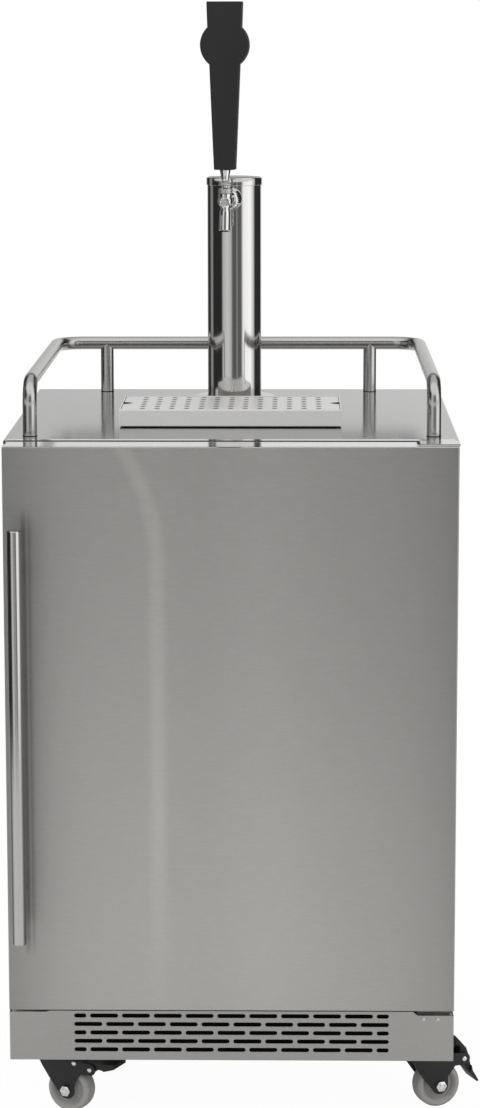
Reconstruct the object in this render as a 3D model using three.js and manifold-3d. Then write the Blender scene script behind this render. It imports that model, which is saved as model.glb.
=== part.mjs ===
// Single-tap kegerator on casters: a refrigerated keg cabinet with a beer tower, guard rail and drip tray.
// Millimetres, +Z up, the door faces -Y. While it is built, x = 0 is the cabinet's middle,
// y = 0 the door's front face and z = 0 the floor; the finished group is centred over its footprint.
import * as THREE from "three";
import { mergeVertices } from "three/addons/utils/BufferGeometryUtils.js";
import Module from "manifold-3d";

const wasm = await Module();
wasm.setup();

// Clearances shared by all pieces
const SEAT_GAP = 0.3;
const CUT_OVERRUN = 5;
const MERGE_TOLERANCE = 1e-3;

// Worktop
const WORKTOP_HEIGHT = 922;
const WORKTOP_WIDTH = 600;
const WORKTOP_DEPTH = 601;
const WORKTOP_SKIRT = 20;
const WORKTOP_SHEET = 1.5;
const WORKTOP_EDGE_RADIUS = 2;
const WORKTOP_CORNER_RADIUS = 5;
const LINE_HOLE_RADIUS = 24;

// Cabinet shell
const CABINET_SHEET = 1.2;
const SIDE_INSET = 3;
const REAR_INSET = 7;
const FACE_FLANGE = 30;
const REAR_FLANGE = 15;
const REAR_LOUVRE_LENGTH = 200;
const REAR_LOUVRE_HEIGHT = 6;
const REAR_LOUVRE_PITCH = 14;
const REAR_LOUVRE_COLUMNS = 2;
const REAR_LOUVRE_ROWS = 6;
const PAN_SHEET = 2;
const PAN_LIP = 16;
const PLENUM_HEIGHT = 39;

// Keg space
const SIDE_WALL_THICKNESS = 42;
const REAR_WALL_THICKNESS = 49;
const LINER_WALL = 2;
const FLOOR_INSULATION = 38;
const CEILING_INSULATION = 50;
const STEP_DEPTH = 140;
const STEP_HEIGHT = 135;
const STEP_TOP_INSULATION = 33;
const STEP_WALL_INSULATION = 40;

// Door
const DOOR_SIDE_INSET = 2.65;
const DOOR_THICKNESS = 36;
const DOOR_SHELL_DEPTH = 33;
const DOOR_SHEET = 1.2;
const DOOR_EDGE_RADIUS = 1.5;
const DOOR_TOP_DROP = 2.5;
const DOOR_KICK_GAP = 0.8;
const DOOR_LINER_WALL = 2.4;
const DOOR_RECESS_DEPTH = 7;
const DOOR_RECESS_MARGIN = 8;
const GASKET_THICKNESS = 10;
const GASKET_WIDTH = 18;
const GASKET_LAP = 9;
const GASKET_GROOVE = 4;
const HINGE_PIN_INSET = 12.35;
const HINGE_PIN_DEPTH_SHARE = 0.7;
const HINGE_PIN_RADIUS = 4;
const HINGE_PIN_LENGTH = 12;
const HINGE_PLATE = 2.5;
const HINGE_PLATE_LENGTH = 52;
const HINGE_PLATE_OVERHANG = 14;
const HINGE_FLANGE_DROP = 20;
const HINGE_FOLD_OVERHANG = 11;
const HINGE_WASHER = 2.5;

// Handle
const HANDLE_DIAMETER = 19;
const HANDLE_LENGTH = 551;
const HANDLE_TOP_DROP = 101;
const HANDLE_EDGE_INSET = 19.8;
const HANDLE_STANDOFF = 55;
const HANDLE_POST_RADIUS = 6;
const HANDLE_POST_INSET = 64;
const HANDLE_EDGE_CHAMFER = 1.2;

// Kick panel
const KICK_HEIGHT = 68.2;
const KICK_DROP = 13;
const KICK_SHEET = 1.5;
const KICK_SIDE_RETURN = 28;
const KICK_FLANGE = 8;
const KICK_TAB_WIDTH = 24;
const KICK_TAB_HEIGHT = 10;
const KICK_TAB_SPACING = 430;
const SLOT_LENGTH = 37.6;
const SLOT_HEIGHT = 5.7;
const SLOT_GAP = 5;
const SLOT_ROW_PITCH = 11.75;
const SLOT_TOP_MARGIN = 6.6;
const SLOTS_PER_ROW = 10;
const SLOT_ROWS = 5;
const HINGE_NOTCH_WIDTH = 48;
const HINGE_NOTCH_DEPTH = 5.4;
const PLAIN_NOTCH_DEPTH = 1.4;
const NOTCH_SLANT = 6.5;

// Guard rail
const RAIL_DIAMETER = 19;
const RAIL_HEIGHT = 81.5;
const RAIL_SIDE_INSET = 32;
const RAIL_FRONT_INSET = 50;
const RAIL_REAR_INSET = 27;
const RAIL_BEND_RADIUS = 40;
const RAIL_POST_SPACING = 391;

// Tower and faucet
const TOWER_X = -1.8;
const TOWER_FRONT_INSET = 361;
const TOWER_DIAMETER = 76;
const TOWER_WALL = 1.5;
const TOWER_HEIGHT = 329;
const TOWER_TURN_DEGREES = -6.1;
const CAP_SKIRT = 9.5;
const CAP_WALL = 1;
const CAP_DOME = 3;
const FLANGE_DIAMETER = 120;
const FLANGE_HEIGHT = 19;
const FLANGE_FLOOR = 4;
const FAUCET_TOP_DROP = 30;
const FAUCET_REACH = 100;
const SHANK_RADIUS = 10.7;
const SHANK_TAIL_RADIUS = 6;
const SHANK_TAIL = 22;
const SHANK_LOCKNUT_RADIUS = 14;
const SHANK_COLLAR_RADIUS = 16;
const SHANK_COLLAR_LENGTH = 14;
const SHANK_THREAD = 9;
const FAUCET_NUT_RADIUS = 14;
const FAUCET_NUT_LENGTH = 17;
const FAUCET_TAIL_LENGTH = 10;
const FAUCET_NECK_RADIUS = 8;
const FAUCET_BARREL_RADIUS = 10;
const FAUCET_BARREL_RISE = 6;
const FAUCET_PLUG_RADIUS = 6.25;
const FAUCET_PLUG_REACH = 16;
const FAUCET_BORE_RADIUS = 4.3;
const SPOUT_RADIUS = 8.3;
const SPOUT_BORE_RADIUS = 6.4;
const SPOUT_DROP = 41;
const SPOUT_RAKE_DEGREES = 13;
const PIVOT_RISE = 12;
const BALL_RADIUS = 7;
const BONNET_RADIUS = 10;
const BONNET_TOP_RISE = 5.6;
const BONNET_CHAMFER = 1.6;
const COLLAR_RADIUS = 9;
const COLLAR_RISE = 9.6;
const COLLAR_HEIGHT = 4.6;
const LEVER_NECK_RADIUS = 3;
const LEVER_TIP_RADIUS = 1.4;
const LEVER_TIP_DROP = 13;
const FERRULE_HEIGHT = 16;
const FERRULE_BASE_RADIUS = 6.3;
const FERRULE_TOP_RADIUS = 8.3;
const TAP_HANDLE_HEIGHT = 228;
const TAP_HANDLE_THICKNESS = 22;
const TAP_HANDLE_BASE_WIDTH = 29;
const TAP_HANDLE_NECK_WIDTH = 41;
const TAP_HANDLE_DISC_DIAMETER = 66.4;
const TAP_HANDLE_TOP_WIDTH = 48.6;
const TAP_HANDLE_DISC_TOP_DROP = 58.7;
const TAP_HANDLE_EDGE = 1.6;
const PLUNGER_RADIUS = 2.6;
const PLUNGER_BOSS_RADIUS = 3.5;
const PLUNGER_BOSS_LENGTH = 12;
const PLUNGER_SLOT_LENGTH = 7.2;
const PLUNGER_SLOT_WIDTH = 3.6;
const PLUNGER_HEAD_RADIUS = 3.9;
const PLUNGER_HEAD_LENGTH = 3;
const PLUNGER_TRAVEL = 6;

// Drip tray
const TRAY_X = -3.6;
const TRAY_WIDTH = 301;
const TRAY_DEPTH = 159;
const TRAY_HEIGHT = 21.5;
const TRAY_WALL = 1.5;
const TRAY_FRONT_INSET = 138;
const TRAY_PAD_THICKNESS = 3;
const TRAY_PAD_MARGIN = 6;
const GRID_SHEET = 1.5;
const GRID_SIDE_GAP = 0.8;
const GRID_FLANGE = 9;
const GRID_HOLE_RADIUS = 4.1;
const GRID_HOLE_SPACING = 20;
const GRID_ROW_SPACING = 21;
const GRID_COLUMNS = 13;
const GRID_ROWS = 7;
const GRID_NOTCH_LENGTH = 14;
const GRID_NOTCH_WIDTH = 25;

// Casters
const WHEEL_DIAMETER = 63;
const WHEEL_WIDTH = 25;
const WHEEL_SIDES = 16;
const TOWER_SIDES = 18;
const FAUCET_SIDES = 10;
const VESSEL_SIDES = 14;
const HOSE_SIDES = 6;
const WHEEL_BORE_RADIUS = 4.6;
const CASTER_TRAIL = 32;
const CASTER_SIDE_INSET = 49;
const CASTER_FRONT_INSET = 29;
const FORK_SIDE_GAP = 1;
const FORK_PLATE = 2.5;
const CROWN_CLEARANCE = 17;
const CROWN_THICKNESS = 4;
const CROWN_RADIUS = 23;
const RACEWAY_HEIGHT = 16.7;
const RACEWAY_RADIUS = 21;
const CASTER_PLATE = 3;
const CASTER_PLATE_SIZE = 62;
const AXLE_RADIUS = 4;
const AXLE_NUT_RADIUS = 7;
const AXLE_NUT_THICKNESS = 6;
const AXLE_BOSS_RADIUS = 12;
const PEDAL_PIVOT_REACH = 36;
const PEDAL_PIVOT_RISE = 34;
const PEDAL_PIN_RADIUS = 3;
const PEDAL_ARM_RADIUS = 8.5;
const PEDAL_REACH = 39;
const PEDAL_BLADE_WIDTH = 36;
const PEDAL_TRAVEL_DEGREES = 55;
const FRONT_LEFT_TURN_DEGREES = -25;
const FRONT_RIGHT_TURN_DEGREES = 22;
const REAR_LEFT_TURN_DEGREES = 12;
const REAR_RIGHT_TURN_DEGREES = -14;

// Cooling and gas
const COMPRESSOR_DIAMETER = 116;
const COMPRESSOR_HEIGHT = 150;
const COMPRESSOR_SIDE_GAP = 89;
const CONDENSER_WIDTH = 220;
const CONDENSER_HEIGHT = 140;
const CONDENSER_DEPTH = 90;
const CONDENSER_X = 110;
const CONDENSER_FINS = 12;
const EVAPORATOR_SIDE_GAP = 50;
const EVAPORATOR_CYLINDER_GAP = 56.5;
const EVAPORATOR_HEIGHT = 200;
const EVAPORATOR_DEPTH = 60;
const EVAPORATOR_SHELL = 2;
const FAN_RADIUS = 48;
const FAN_HUB_RADIUS = 15;
const FAN_DEPTH = 18;
const FAN_BLADES = 5;
const FAN_PITCH_DEGREES = 32;
const CONTROL_WIDTH = 140;
const CONTROL_DEPTH = 46;
const CONTROL_HEIGHT = 16;
const CYLINDER_DIAMETER = 133;
const CYLINDER_HEIGHT = 380;
const CYLINDER_WALL = 6;
const CYLINDER_SIDE_GAP = 10.5;
const VALVE_HEIGHT = 40;
const VALVE_RADIUS = 11;
const VALVE_WHEEL_RADIUS = 19;
const VALVE_WHEEL_THICKNESS = 11;
const REGULATOR_RADIUS = 21;
const REGULATOR_LENGTH = 44;
const GAUGE_RADIUS = 20;
const GAUGE_DEPTH = 16;
const HOSE_RADIUS = 4.8;
const LINE_RADIUS = 4.8;
const COUPLER_SIDE_GAP = 125;
const COUPLER_RADIUS = 17;
const COUPLER_HEIGHT = 92;
const COUPLER_BASE_RADIUS = 27;
const COUPLER_BASE_HEIGHT = 12;
const COUPLER_HANDLE_LENGTH = 78;

// Places worked out from the sizes above
const halfTurn = Math.PI;
const worktopTop = WORKTOP_HEIGHT;
const worktopUnderside = worktopTop - WORKTOP_SHEET;
const cabinetFront = DOOR_THICKNESS + GASKET_THICKNESS;
const cabinetRear = cabinetFront + WORKTOP_DEPTH - REAR_INSET;
const cabinetHalf = WORKTOP_WIDTH / 2 - SIDE_INSET;
const shellTop = worktopTop - WORKTOP_SKIRT - SEAT_GAP;
const axleHeight = WHEEL_DIAMETER / 2;
const crownUnderside = WHEEL_DIAMETER + CROWN_CLEARANCE;
const crownTop = crownUnderside + CROWN_THICKNESS;
const racewayBottom = crownTop + SEAT_GAP;
const panUnderside = racewayBottom + RACEWAY_HEIGHT + CASTER_PLATE;
const panTop = panUnderside + PAN_SHEET;
const foamUnderside = panTop + PLENUM_HEIGHT;
const linerFloor = foamUnderside + FLOOR_INSULATION + LINER_WALL;
const linerCeiling = worktopUnderside - SEAT_GAP - CEILING_INSULATION - LINER_WALL;
const linerHalf = cabinetHalf - SIDE_WALL_THICKNESS;
const linerRear = cabinetRear - REAR_WALL_THICKNESS;
const stepFront = linerRear - STEP_DEPTH;
const stepTop = linerFloor + STEP_HEIGHT;
const bayFront = stepFront + LINER_WALL + STEP_WALL_INSULATION;
const bayTop = stepTop - LINER_WALL - STEP_TOP_INSULATION;
const kickBottom = panUnderside - KICK_DROP;
const kickTop = kickBottom + KICK_HEIGHT;
const doorBottom = kickTop + DOOR_KICK_GAP;
const doorTop = worktopTop - DOOR_TOP_DROP;
const doorHalf = WORKTOP_WIDTH / 2 - DOOR_SIDE_INSET;
const hingeX = doorHalf - HINGE_PIN_INSET;
const hingeY = DOOR_THICKNESS * HINGE_PIN_DEPTH_SHARE;
const towerY = cabinetFront + TOWER_FRONT_INSET;
const faucetZ = worktopTop + TOWER_HEIGHT - FAUCET_TOP_DROP;
const columnInside = (TOWER_DIAMETER / 2 - TOWER_WALL) * Math.cos(halfTurn / TOWER_SIDES);
const locknutFront = Math.sqrt(columnInside ** 2 - SHANK_LOCKNUT_RADIUS ** 2) - SEAT_GAP;
const locknutBack = locknutFront * 0.78;
const shankTailEnd = locknutBack - SHANK_TAIL;
const cylinderX = -linerHalf + CYLINDER_SIDE_GAP + CYLINDER_DIAMETER / 2;
const evaporatorLeft = cylinderX + CYLINDER_DIAMETER / 2 + EVAPORATOR_CYLINDER_GAP;
const evaporatorRight = linerHalf - EVAPORATOR_SIDE_GAP;
const evaporatorX = (evaporatorLeft + evaporatorRight) / 2;
const couplerX = linerHalf - COUPLER_SIDE_GAP;
const compressorX = -cabinetHalf + COMPRESSOR_SIDE_GAP + COMPRESSOR_DIAMETER / 2;

// Finishes
const finish = (color, roughness, metalness) =>
  new THREE.MeshStandardMaterial({ color, roughness, metalness });
const brushedSteel = finish(0x8f8f8d, 0.38, 1);
const polishedSteel = finish(0xb4b4b2, 0.18, 1);
const chrome = finish(0xd0d0d0, 0.08, 1);
const zinc = finish(0xb8b8b4, 0.35, 1);
const darkSteel = finish(0x2a2a2a, 0.5, 0.6);
const blackPaint = finish(0x1c1c1c, 0.6, 0.1);
const blackPlastic = finish(0x202020, 0.6, 0);
const greyRubber = finish(0x8c8b86, 0.7, 0);
const whitePlastic = finish(0xe4e4e0, 0.45, 0);
const foam = finish(0xd9cfa6, 0.9, 0);
const aluminium = finish(0xa8abad, 0.35, 1);
const brass = finish(0xb08d45, 0.35, 1);
const clearHose = finish(0xd8d8d0, 0.3, 0);
const redPlastic = finish(0x9c2020, 0.5, 0);
const gasketRubber = finish(0x3a3a3a, 0.8, 0);

// A closed geometry as a solid: shared vertices merged, empty faces dropped, faces turned out.
function solid(geometry) {
  const bare = new THREE.BufferGeometry();
  bare.setAttribute("position", geometry.getAttribute("position"));
  if (geometry.index) bare.setIndex(geometry.index);
  const merged = mergeVertices(bare, MERGE_TOLERANCE);
  const corners = merged.index.array;
  const kept = [];
  for (let i = 0; i < corners.length; i += 3) {
    const [a, b, c] = [corners[i], corners[i + 1], corners[i + 2]];
    if (a !== b && b !== c && c !== a) kept.push(a, b, c);
  }
  const build = (triangles) =>
    new wasm.Manifold(
      new wasm.Mesh({
        numProp: 3,
        vertProperties: new Float32Array(merged.attributes.position.array),
        triVerts: new Uint32Array(triangles),
      }),
    );
  const made = build(kept);
  return made.volume() < 0 ? build(kept.reverse()) : made;
}

const joined = (...pieces) => pieces.reduce((whole, piece) => whole.add(piece));
const cut = (body, ...tools) => tools.reduce((rest, tool) => rest.subtract(tool), body);

// A solid as a named mesh.
function piece(name, body, material) {
  const { vertProperties, numProp, triVerts } = body.getMesh();
  const positions = [];
  for (const corner of triVerts) {
    positions.push(...vertProperties.subarray(corner * numProp, corner * numProp + 3));
  }
  const geometry = new THREE.BufferGeometry();
  geometry.setAttribute("position", new THREE.Float32BufferAttribute(positions, 3));
  geometry.computeVertexNormals();
  const mesh = new THREE.Mesh(geometry, material);
  mesh.name = name;
  return mesh;
}

// A box between two values on each axis.
function box(x0, x1, y0, y1, z0, z1) {
  const geometry = new THREE.BoxGeometry(x1 - x0, y1 - y0, z1 - z0);
  return solid(geometry.translate((x0 + x1) / 2, (y0 + y1) / 2, (z0 + z1) / 2));
}

const outline = (points) => new THREE.Shape(points.map(([u, v]) => new THREE.Vector2(u, v)));
const alongX = new THREE.Matrix4().set(0, 0, 1, 0, 1, 0, 0, 0, 0, 1, 0, 0, 0, 0, 0, 1);
const alongY = new THREE.Matrix4().set(1, 0, 0, 0, 0, 0, -1, 0, 0, 1, 0, 0, 0, 0, 0, 1);

// Prisms: upright from an (x, y) outline, frontal from (x, z), sideways from (y, z).
function extruded(shape, length, edge = 0) {
  return new THREE.ExtrudeGeometry(shape, {
    depth: length - 2 * edge,
    bevelEnabled: edge > 0,
    bevelThickness: edge,
    bevelSize: edge,
    bevelOffset: -edge,
    bevelSegments: 2,
    curveSegments: 2,
  }).translate(0, 0, edge);
}
const upright = (shape, z0, z1, edge) => solid(extruded(shape, z1 - z0, edge).translate(0, 0, z0));
const frontal = (shape, y0, y1, edge) =>
  solid(extruded(shape, y1 - y0, edge).applyMatrix4(alongY).translate(0, y1, 0));
const sideways = (shape, x0, x1, edge) =>
  solid(extruded(shape, x1 - x0, edge).applyMatrix4(alongX).translate(x0, 0, 0));

// A solid of revolution about +Z through (x, y) from (radius, height) points.
function turned(profile, sides, x = 0, y = 0) {
  const points = profile.map(([radius, height]) => new THREE.Vector2(radius, height));
  return solid(new THREE.LatheGeometry(points, sides).rotateX(halfTurn / 2).translate(x, y, 0));
}

// The same about the -Y direction, with distances measured forward from y = 0.
function turnedForward(profile, sides) {
  const points = profile.map(([radius, forward]) => new THREE.Vector2(radius, forward));
  return solid(new THREE.LatheGeometry(points, sides).rotateX(halfTurn));
}

// A disc or rod along one axis between two values.
const rodZ = (radius, z0, z1, sides, x = 0, y = 0) =>
  turned([[0, z0], [radius, z0], [radius, z1], [0, z1]], sides, x, y);
function rodX(radius, x0, x1, sides, y, z) {
  const geometry = new THREE.CylinderGeometry(radius, radius, x1 - x0, sides).rotateZ(halfTurn / 2);
  return solid(geometry.translate((x0 + x1) / 2, y, z));
}
function rodY(radius, y0, y1, sides, x, z) {
  const geometry = new THREE.CylinderGeometry(radius, radius, y1 - y0, sides);
  return solid(geometry.translate(x, (y0 + y1) / 2, z));
}

// A rectangle's outline with its corners rounded.
function roundedRectangle(u0, u1, v0, v1, radius) {
  const shape = new THREE.Shape();
  shape.moveTo(u0 + radius, v0);
  shape.absarc(u1 - radius, v0 + radius, radius, -halfTurn / 2, 0);
  shape.absarc(u1 - radius, v1 - radius, radius, 0, halfTurn / 2);
  shape.absarc(u0 + radius, v1 - radius, radius, halfTurn / 2, halfTurn);
  shape.absarc(u0 + radius, v0 + radius, radius, halfTurn, (3 * halfTurn) / 2);
  return shape;
}
const rectangle = (u0, u1, v0, v1) => outline([[u0, v0], [u1, v0], [u1, v1], [u0, v1]]);

// A path through set places, mitred at each, so that a straight takes one step and a bend several.
class BentPath extends THREE.Curve {
  constructor(places) {
    super();
    this.places = places;
  }
  getUtoTmapping(u) {
    return u;
  }
  getPoint(t) {
    const reach = t * (this.places.length - 1);
    const index = Math.min(Math.floor(reach), this.places.length - 2);
    return this.places[index].clone().lerp(this.places[index + 1], reach - index);
  }
  getTangent(t) {
    const index = Math.round(t * (this.places.length - 1));
    const before = this.places[Math.max(index - 1, 0)];
    const here = this.places[index];
    const after = this.places[Math.min(index + 1, this.places.length - 1)];
    const arriving = here.clone().sub(before).normalize();
    return after.clone().sub(here).normalize().add(arriving).normalize();
  }
}

// The places along straights joined by bends of one radius.
function bentPlaces(corners, radius, steps) {
  const places = [corners[0]];
  for (let i = 1; i < corners.length - 1; i += 1) {
    const arriving = corners[i].clone().sub(corners[i - 1]).normalize();
    const leaving = corners[i + 1].clone().sub(corners[i]).normalize();
    const turn = arriving.angleTo(leaving);
    const start = corners[i].clone().addScaledVector(arriving, -radius * Math.tan(turn / 2));
    const inward = leaving.clone().addScaledVector(arriving, -Math.cos(turn)).normalize();
    const centre = start.clone().addScaledVector(inward, radius);
    for (let step = 0; step <= steps; step += 1) {
      const angle = (turn * step) / steps;
      const place = centre.clone().addScaledVector(inward, -radius * Math.cos(angle));
      places.push(place.addScaledVector(arriving, radius * Math.sin(angle)));
    }
  }
  places.push(corners[corners.length - 1]);
  return places;
}

function tube(path, radius, sides, steps) {
  const ring = [];
  for (let side = 0; side < sides; side += 1) {
    const angle = (2 * halfTurn * side) / sides;
    ring.push([radius * Math.cos(angle), radius * Math.sin(angle)]);
  }
  return solid(new THREE.ExtrudeGeometry(outline(ring), { steps, extrudePath: path, bevelEnabled: false }));
}
function bentTube(corners, radius, bend, sides, bendSteps = 5) {
  const places = bentPlaces(corners.map((corner) => new THREE.Vector3(...corner)), bend, bendSteps);
  return tube(new BentPath(places), radius, sides, places.length - 1);
}

const kegerator = new THREE.Group();
kegerator.name = "kegerator";
const cabinet = new THREE.Group();
cabinet.name = "cabinet";
kegerator.add(cabinet);

// A group at a joint's place. Pieces built in the cabinet's frame are attached where they stand.
function pivot(name, parent, x, y, z) {
  const group = new THREE.Group();
  group.name = name;
  group.position.set(x, y, z);
  parent.add(group);
  return group;
}
function attachTo(group, ...meshes) {
  group.updateWorldMatrix(true, false);
  meshes.forEach((mesh) => group.attach(mesh));
}

// Worktop: an inverted tray with rolled upper edges and a hole for the beer line.
function makeWorktop() {
  const half = WORKTOP_WIDTH / 2;
  const rear = cabinetFront + WORKTOP_DEPTH;
  const bottom = worktopTop - WORKTOP_SKIRT;
  const edge = WORKTOP_EDGE_RADIUS;
  const plan = roundedRectangle(-half, half, cabinetFront, rear, WORKTOP_CORNER_RADIUS);
  const shell = upright(plan, bottom - edge, worktopTop, edge);
  const below = box(-half - edge, half + edge, cabinetFront - edge, rear + edge, bottom - 2 * edge, bottom);
  const inner = WORKTOP_SHEET;
  const hollow = box(
    -half + inner, half - inner, cabinetFront + inner, rear - inner, bottom - edge, worktopUnderside,
  );
  const hole = rodZ(LINE_HOLE_RADIUS, bottom, worktopTop + CUT_OVERRUN, TOWER_SIDES, TOWER_X, towerY);
  return piece("worktop", cut(shell, below, hollow, hole), polishedSteel);
}

// Side panel: folded sheet with a face flange and a rear flange; side is +1 or -1.
function makeSidePanel(name, side) {
  const sheet = CABINET_SHEET;
  const plan = [
    [cabinetHalf - FACE_FLANGE, cabinetFront],
    [cabinetHalf, cabinetFront],
    [cabinetHalf, cabinetRear],
    [cabinetHalf - REAR_FLANGE, cabinetRear],
    [cabinetHalf - REAR_FLANGE, cabinetRear - sheet],
    [cabinetHalf - sheet, cabinetRear - sheet],
    [cabinetHalf - sheet, cabinetFront + sheet],
    [cabinetHalf - FACE_FLANGE, cabinetFront + sheet],
  ];
  const shape = outline(plan.map(([x, y]) => [side * x, y]));
  return piece(name, upright(shape, panUnderside, shellTop), brushedSteel);
}

// Rear panel: a flat sheet over the rear flanges with rows of louvre slots behind the compressor.
function makeRearPanel() {
  const front = cabinetRear + SEAT_GAP;
  const back = front + CABINET_SHEET;
  const sheet = box(-cabinetHalf, cabinetHalf, front, back, panUnderside, shellTop);
  const slots = [];
  const columnPitch = REAR_LOUVRE_LENGTH + REAR_LOUVRE_PITCH;
  for (let row = 0; row < REAR_LOUVRE_ROWS; row += 1) {
    const z = panTop + REAR_LOUVRE_PITCH * (row + 2);
    for (let column = 0; column < REAR_LOUVRE_COLUMNS; column += 1) {
      const x = (column - (REAR_LOUVRE_COLUMNS - 1) / 2) * columnPitch;
      const halfLength = REAR_LOUVRE_LENGTH / 2;
      const halfHeight = REAR_LOUVRE_HEIGHT / 2;
      const [y0, y1] = [front - CUT_OVERRUN, back + CUT_OVERRUN];
      slots.push(box(x - halfLength, x + halfLength, y0, y1, z - halfHeight, z + halfHeight));
    }
  }
  return piece("rear_panel", cut(sheet, ...slots), darkSteel);
}

// Places of the four swivel axes
const casterX = cabinetHalf - CASTER_SIDE_INSET;
const casterFrontY = cabinetFront + CASTER_FRONT_INSET;
const casterRearY = cabinetRear - CASTER_FRONT_INSET;

// Base pan: a sheet with a front lip, carrying a plate and a raceway cup for each caster.
function makeBasePan() {
  const inner = cabinetHalf - CABINET_SHEET - SEAT_GAP;
  const lipHalf = cabinetHalf - FACE_FLANGE - SEAT_GAP;
  const plateFront = cabinetFront + CABINET_SHEET + SEAT_GAP;
  let pan = joined(
    box(-inner, inner, plateFront, cabinetRear - CABINET_SHEET - SEAT_GAP, panUnderside, panTop),
    box(-lipHalf, lipHalf, cabinetFront, plateFront + PAN_SHEET, panUnderside, panTop),
    box(-lipHalf, lipHalf, cabinetFront, cabinetFront + PAN_SHEET, panUnderside, panTop + PAN_LIP),
  );
  const half = CASTER_PLATE_SIZE / 2;
  const plateBottom = panUnderside - CASTER_PLATE;
  const throat = RACEWAY_RADIUS * 0.78;
  const rim = racewayBottom + RACEWAY_HEIGHT * 0.4;
  for (const x of [-casterX, casterX]) {
    for (const y of [casterFrontY, casterRearY]) {
      const low = Math.max(y - half, plateFront);
      const high = Math.min(y + half, cabinetRear - CABINET_SHEET - SEAT_GAP);
      pan = pan.add(box(x - half, x + half, low, high, plateBottom, panTop));
      const cup = [[0, racewayBottom], [RACEWAY_RADIUS, racewayBottom], [RACEWAY_RADIUS, rim], [throat, rim]];
      pan = pan.add(turned([...cup, [throat, panTop], [0, panTop]], 10, x, y));
    }
  }
  return piece("base_pan", pan, darkSteel);
}

// The keg space seen from the side, grown outward by a wall. The mouth is cut past the cabinet's front.
function kegSpaceOutline(grown) {
  return outline([
    [cabinetFront - CUT_OVERRUN, linerFloor - grown],
    [stepFront + grown, linerFloor - grown],
    [stepFront + grown, stepTop - grown],
    [linerRear + grown, stepTop - grown],
    [linerRear + grown, linerCeiling + grown],
    [cabinetFront - CUT_OVERRUN, linerCeiling + grown],
  ]);
}

// Where the beer line leaves the keg space
const lineHole = (z0, z1, radius) => rodZ(radius, z0, z1, TOWER_SIDES, TOWER_X, towerY);

// Foamed-in-place insulation: it fills the shell and leaves the compressor bay free.
function makeInsulation() {
  const half = cabinetHalf - CABINET_SHEET - SEAT_GAP;
  const front = cabinetFront + Math.max(WORKTOP_SHEET, CABINET_SHEET, LINER_WALL) + SEAT_GAP;
  const rear = cabinetRear - CABINET_SHEET - SEAT_GAP;
  const block = sideways(
    outline([
      [front, foamUnderside],
      [bayFront, foamUnderside],
      [bayFront, bayTop],
      [rear, bayTop],
      [rear, worktopUnderside - SEAT_GAP],
      [front, worktopUnderside - SEAT_GAP],
    ]),
    -half,
    half,
  );
  const space = LINER_WALL + SEAT_GAP;
  const hollow = sideways(kegSpaceOutline(space), -linerHalf - space, linerHalf + space);
  const hole = lineHole(linerCeiling, worktopTop, LINE_HOLE_RADIUS);
  return piece("insulation", cut(block, hollow, hole), foam);
}

// Inner liner: a moulded tub with a step over the compressor bay and a flange round its mouth.
function makeLiner() {
  const outer = sideways(kegSpaceOutline(LINER_WALL), -linerHalf - LINER_WALL, linerHalf + LINER_WALL);
  const trim = box(
    -cabinetHalf, cabinetHalf, cabinetFront - 2 * CUT_OVERRUN, cabinetFront, linerFloor / 2, worktopTop,
  );
  const flangeHalf = cabinetHalf - FACE_FLANGE - SEAT_GAP;
  const flange = box(
    -flangeHalf, flangeHalf, cabinetFront, cabinetFront + LINER_WALL, foamUnderside, shellTop - SEAT_GAP,
  );
  const inner = sideways(kegSpaceOutline(0), -linerHalf, linerHalf);
  const hole = lineHole(linerCeiling - CUT_OVERRUN, worktopTop, LINE_HOLE_RADIUS * 0.6);
  return piece("liner", cut(joined(outer, flange), trim, inner, hole), whitePlastic);
}

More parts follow.
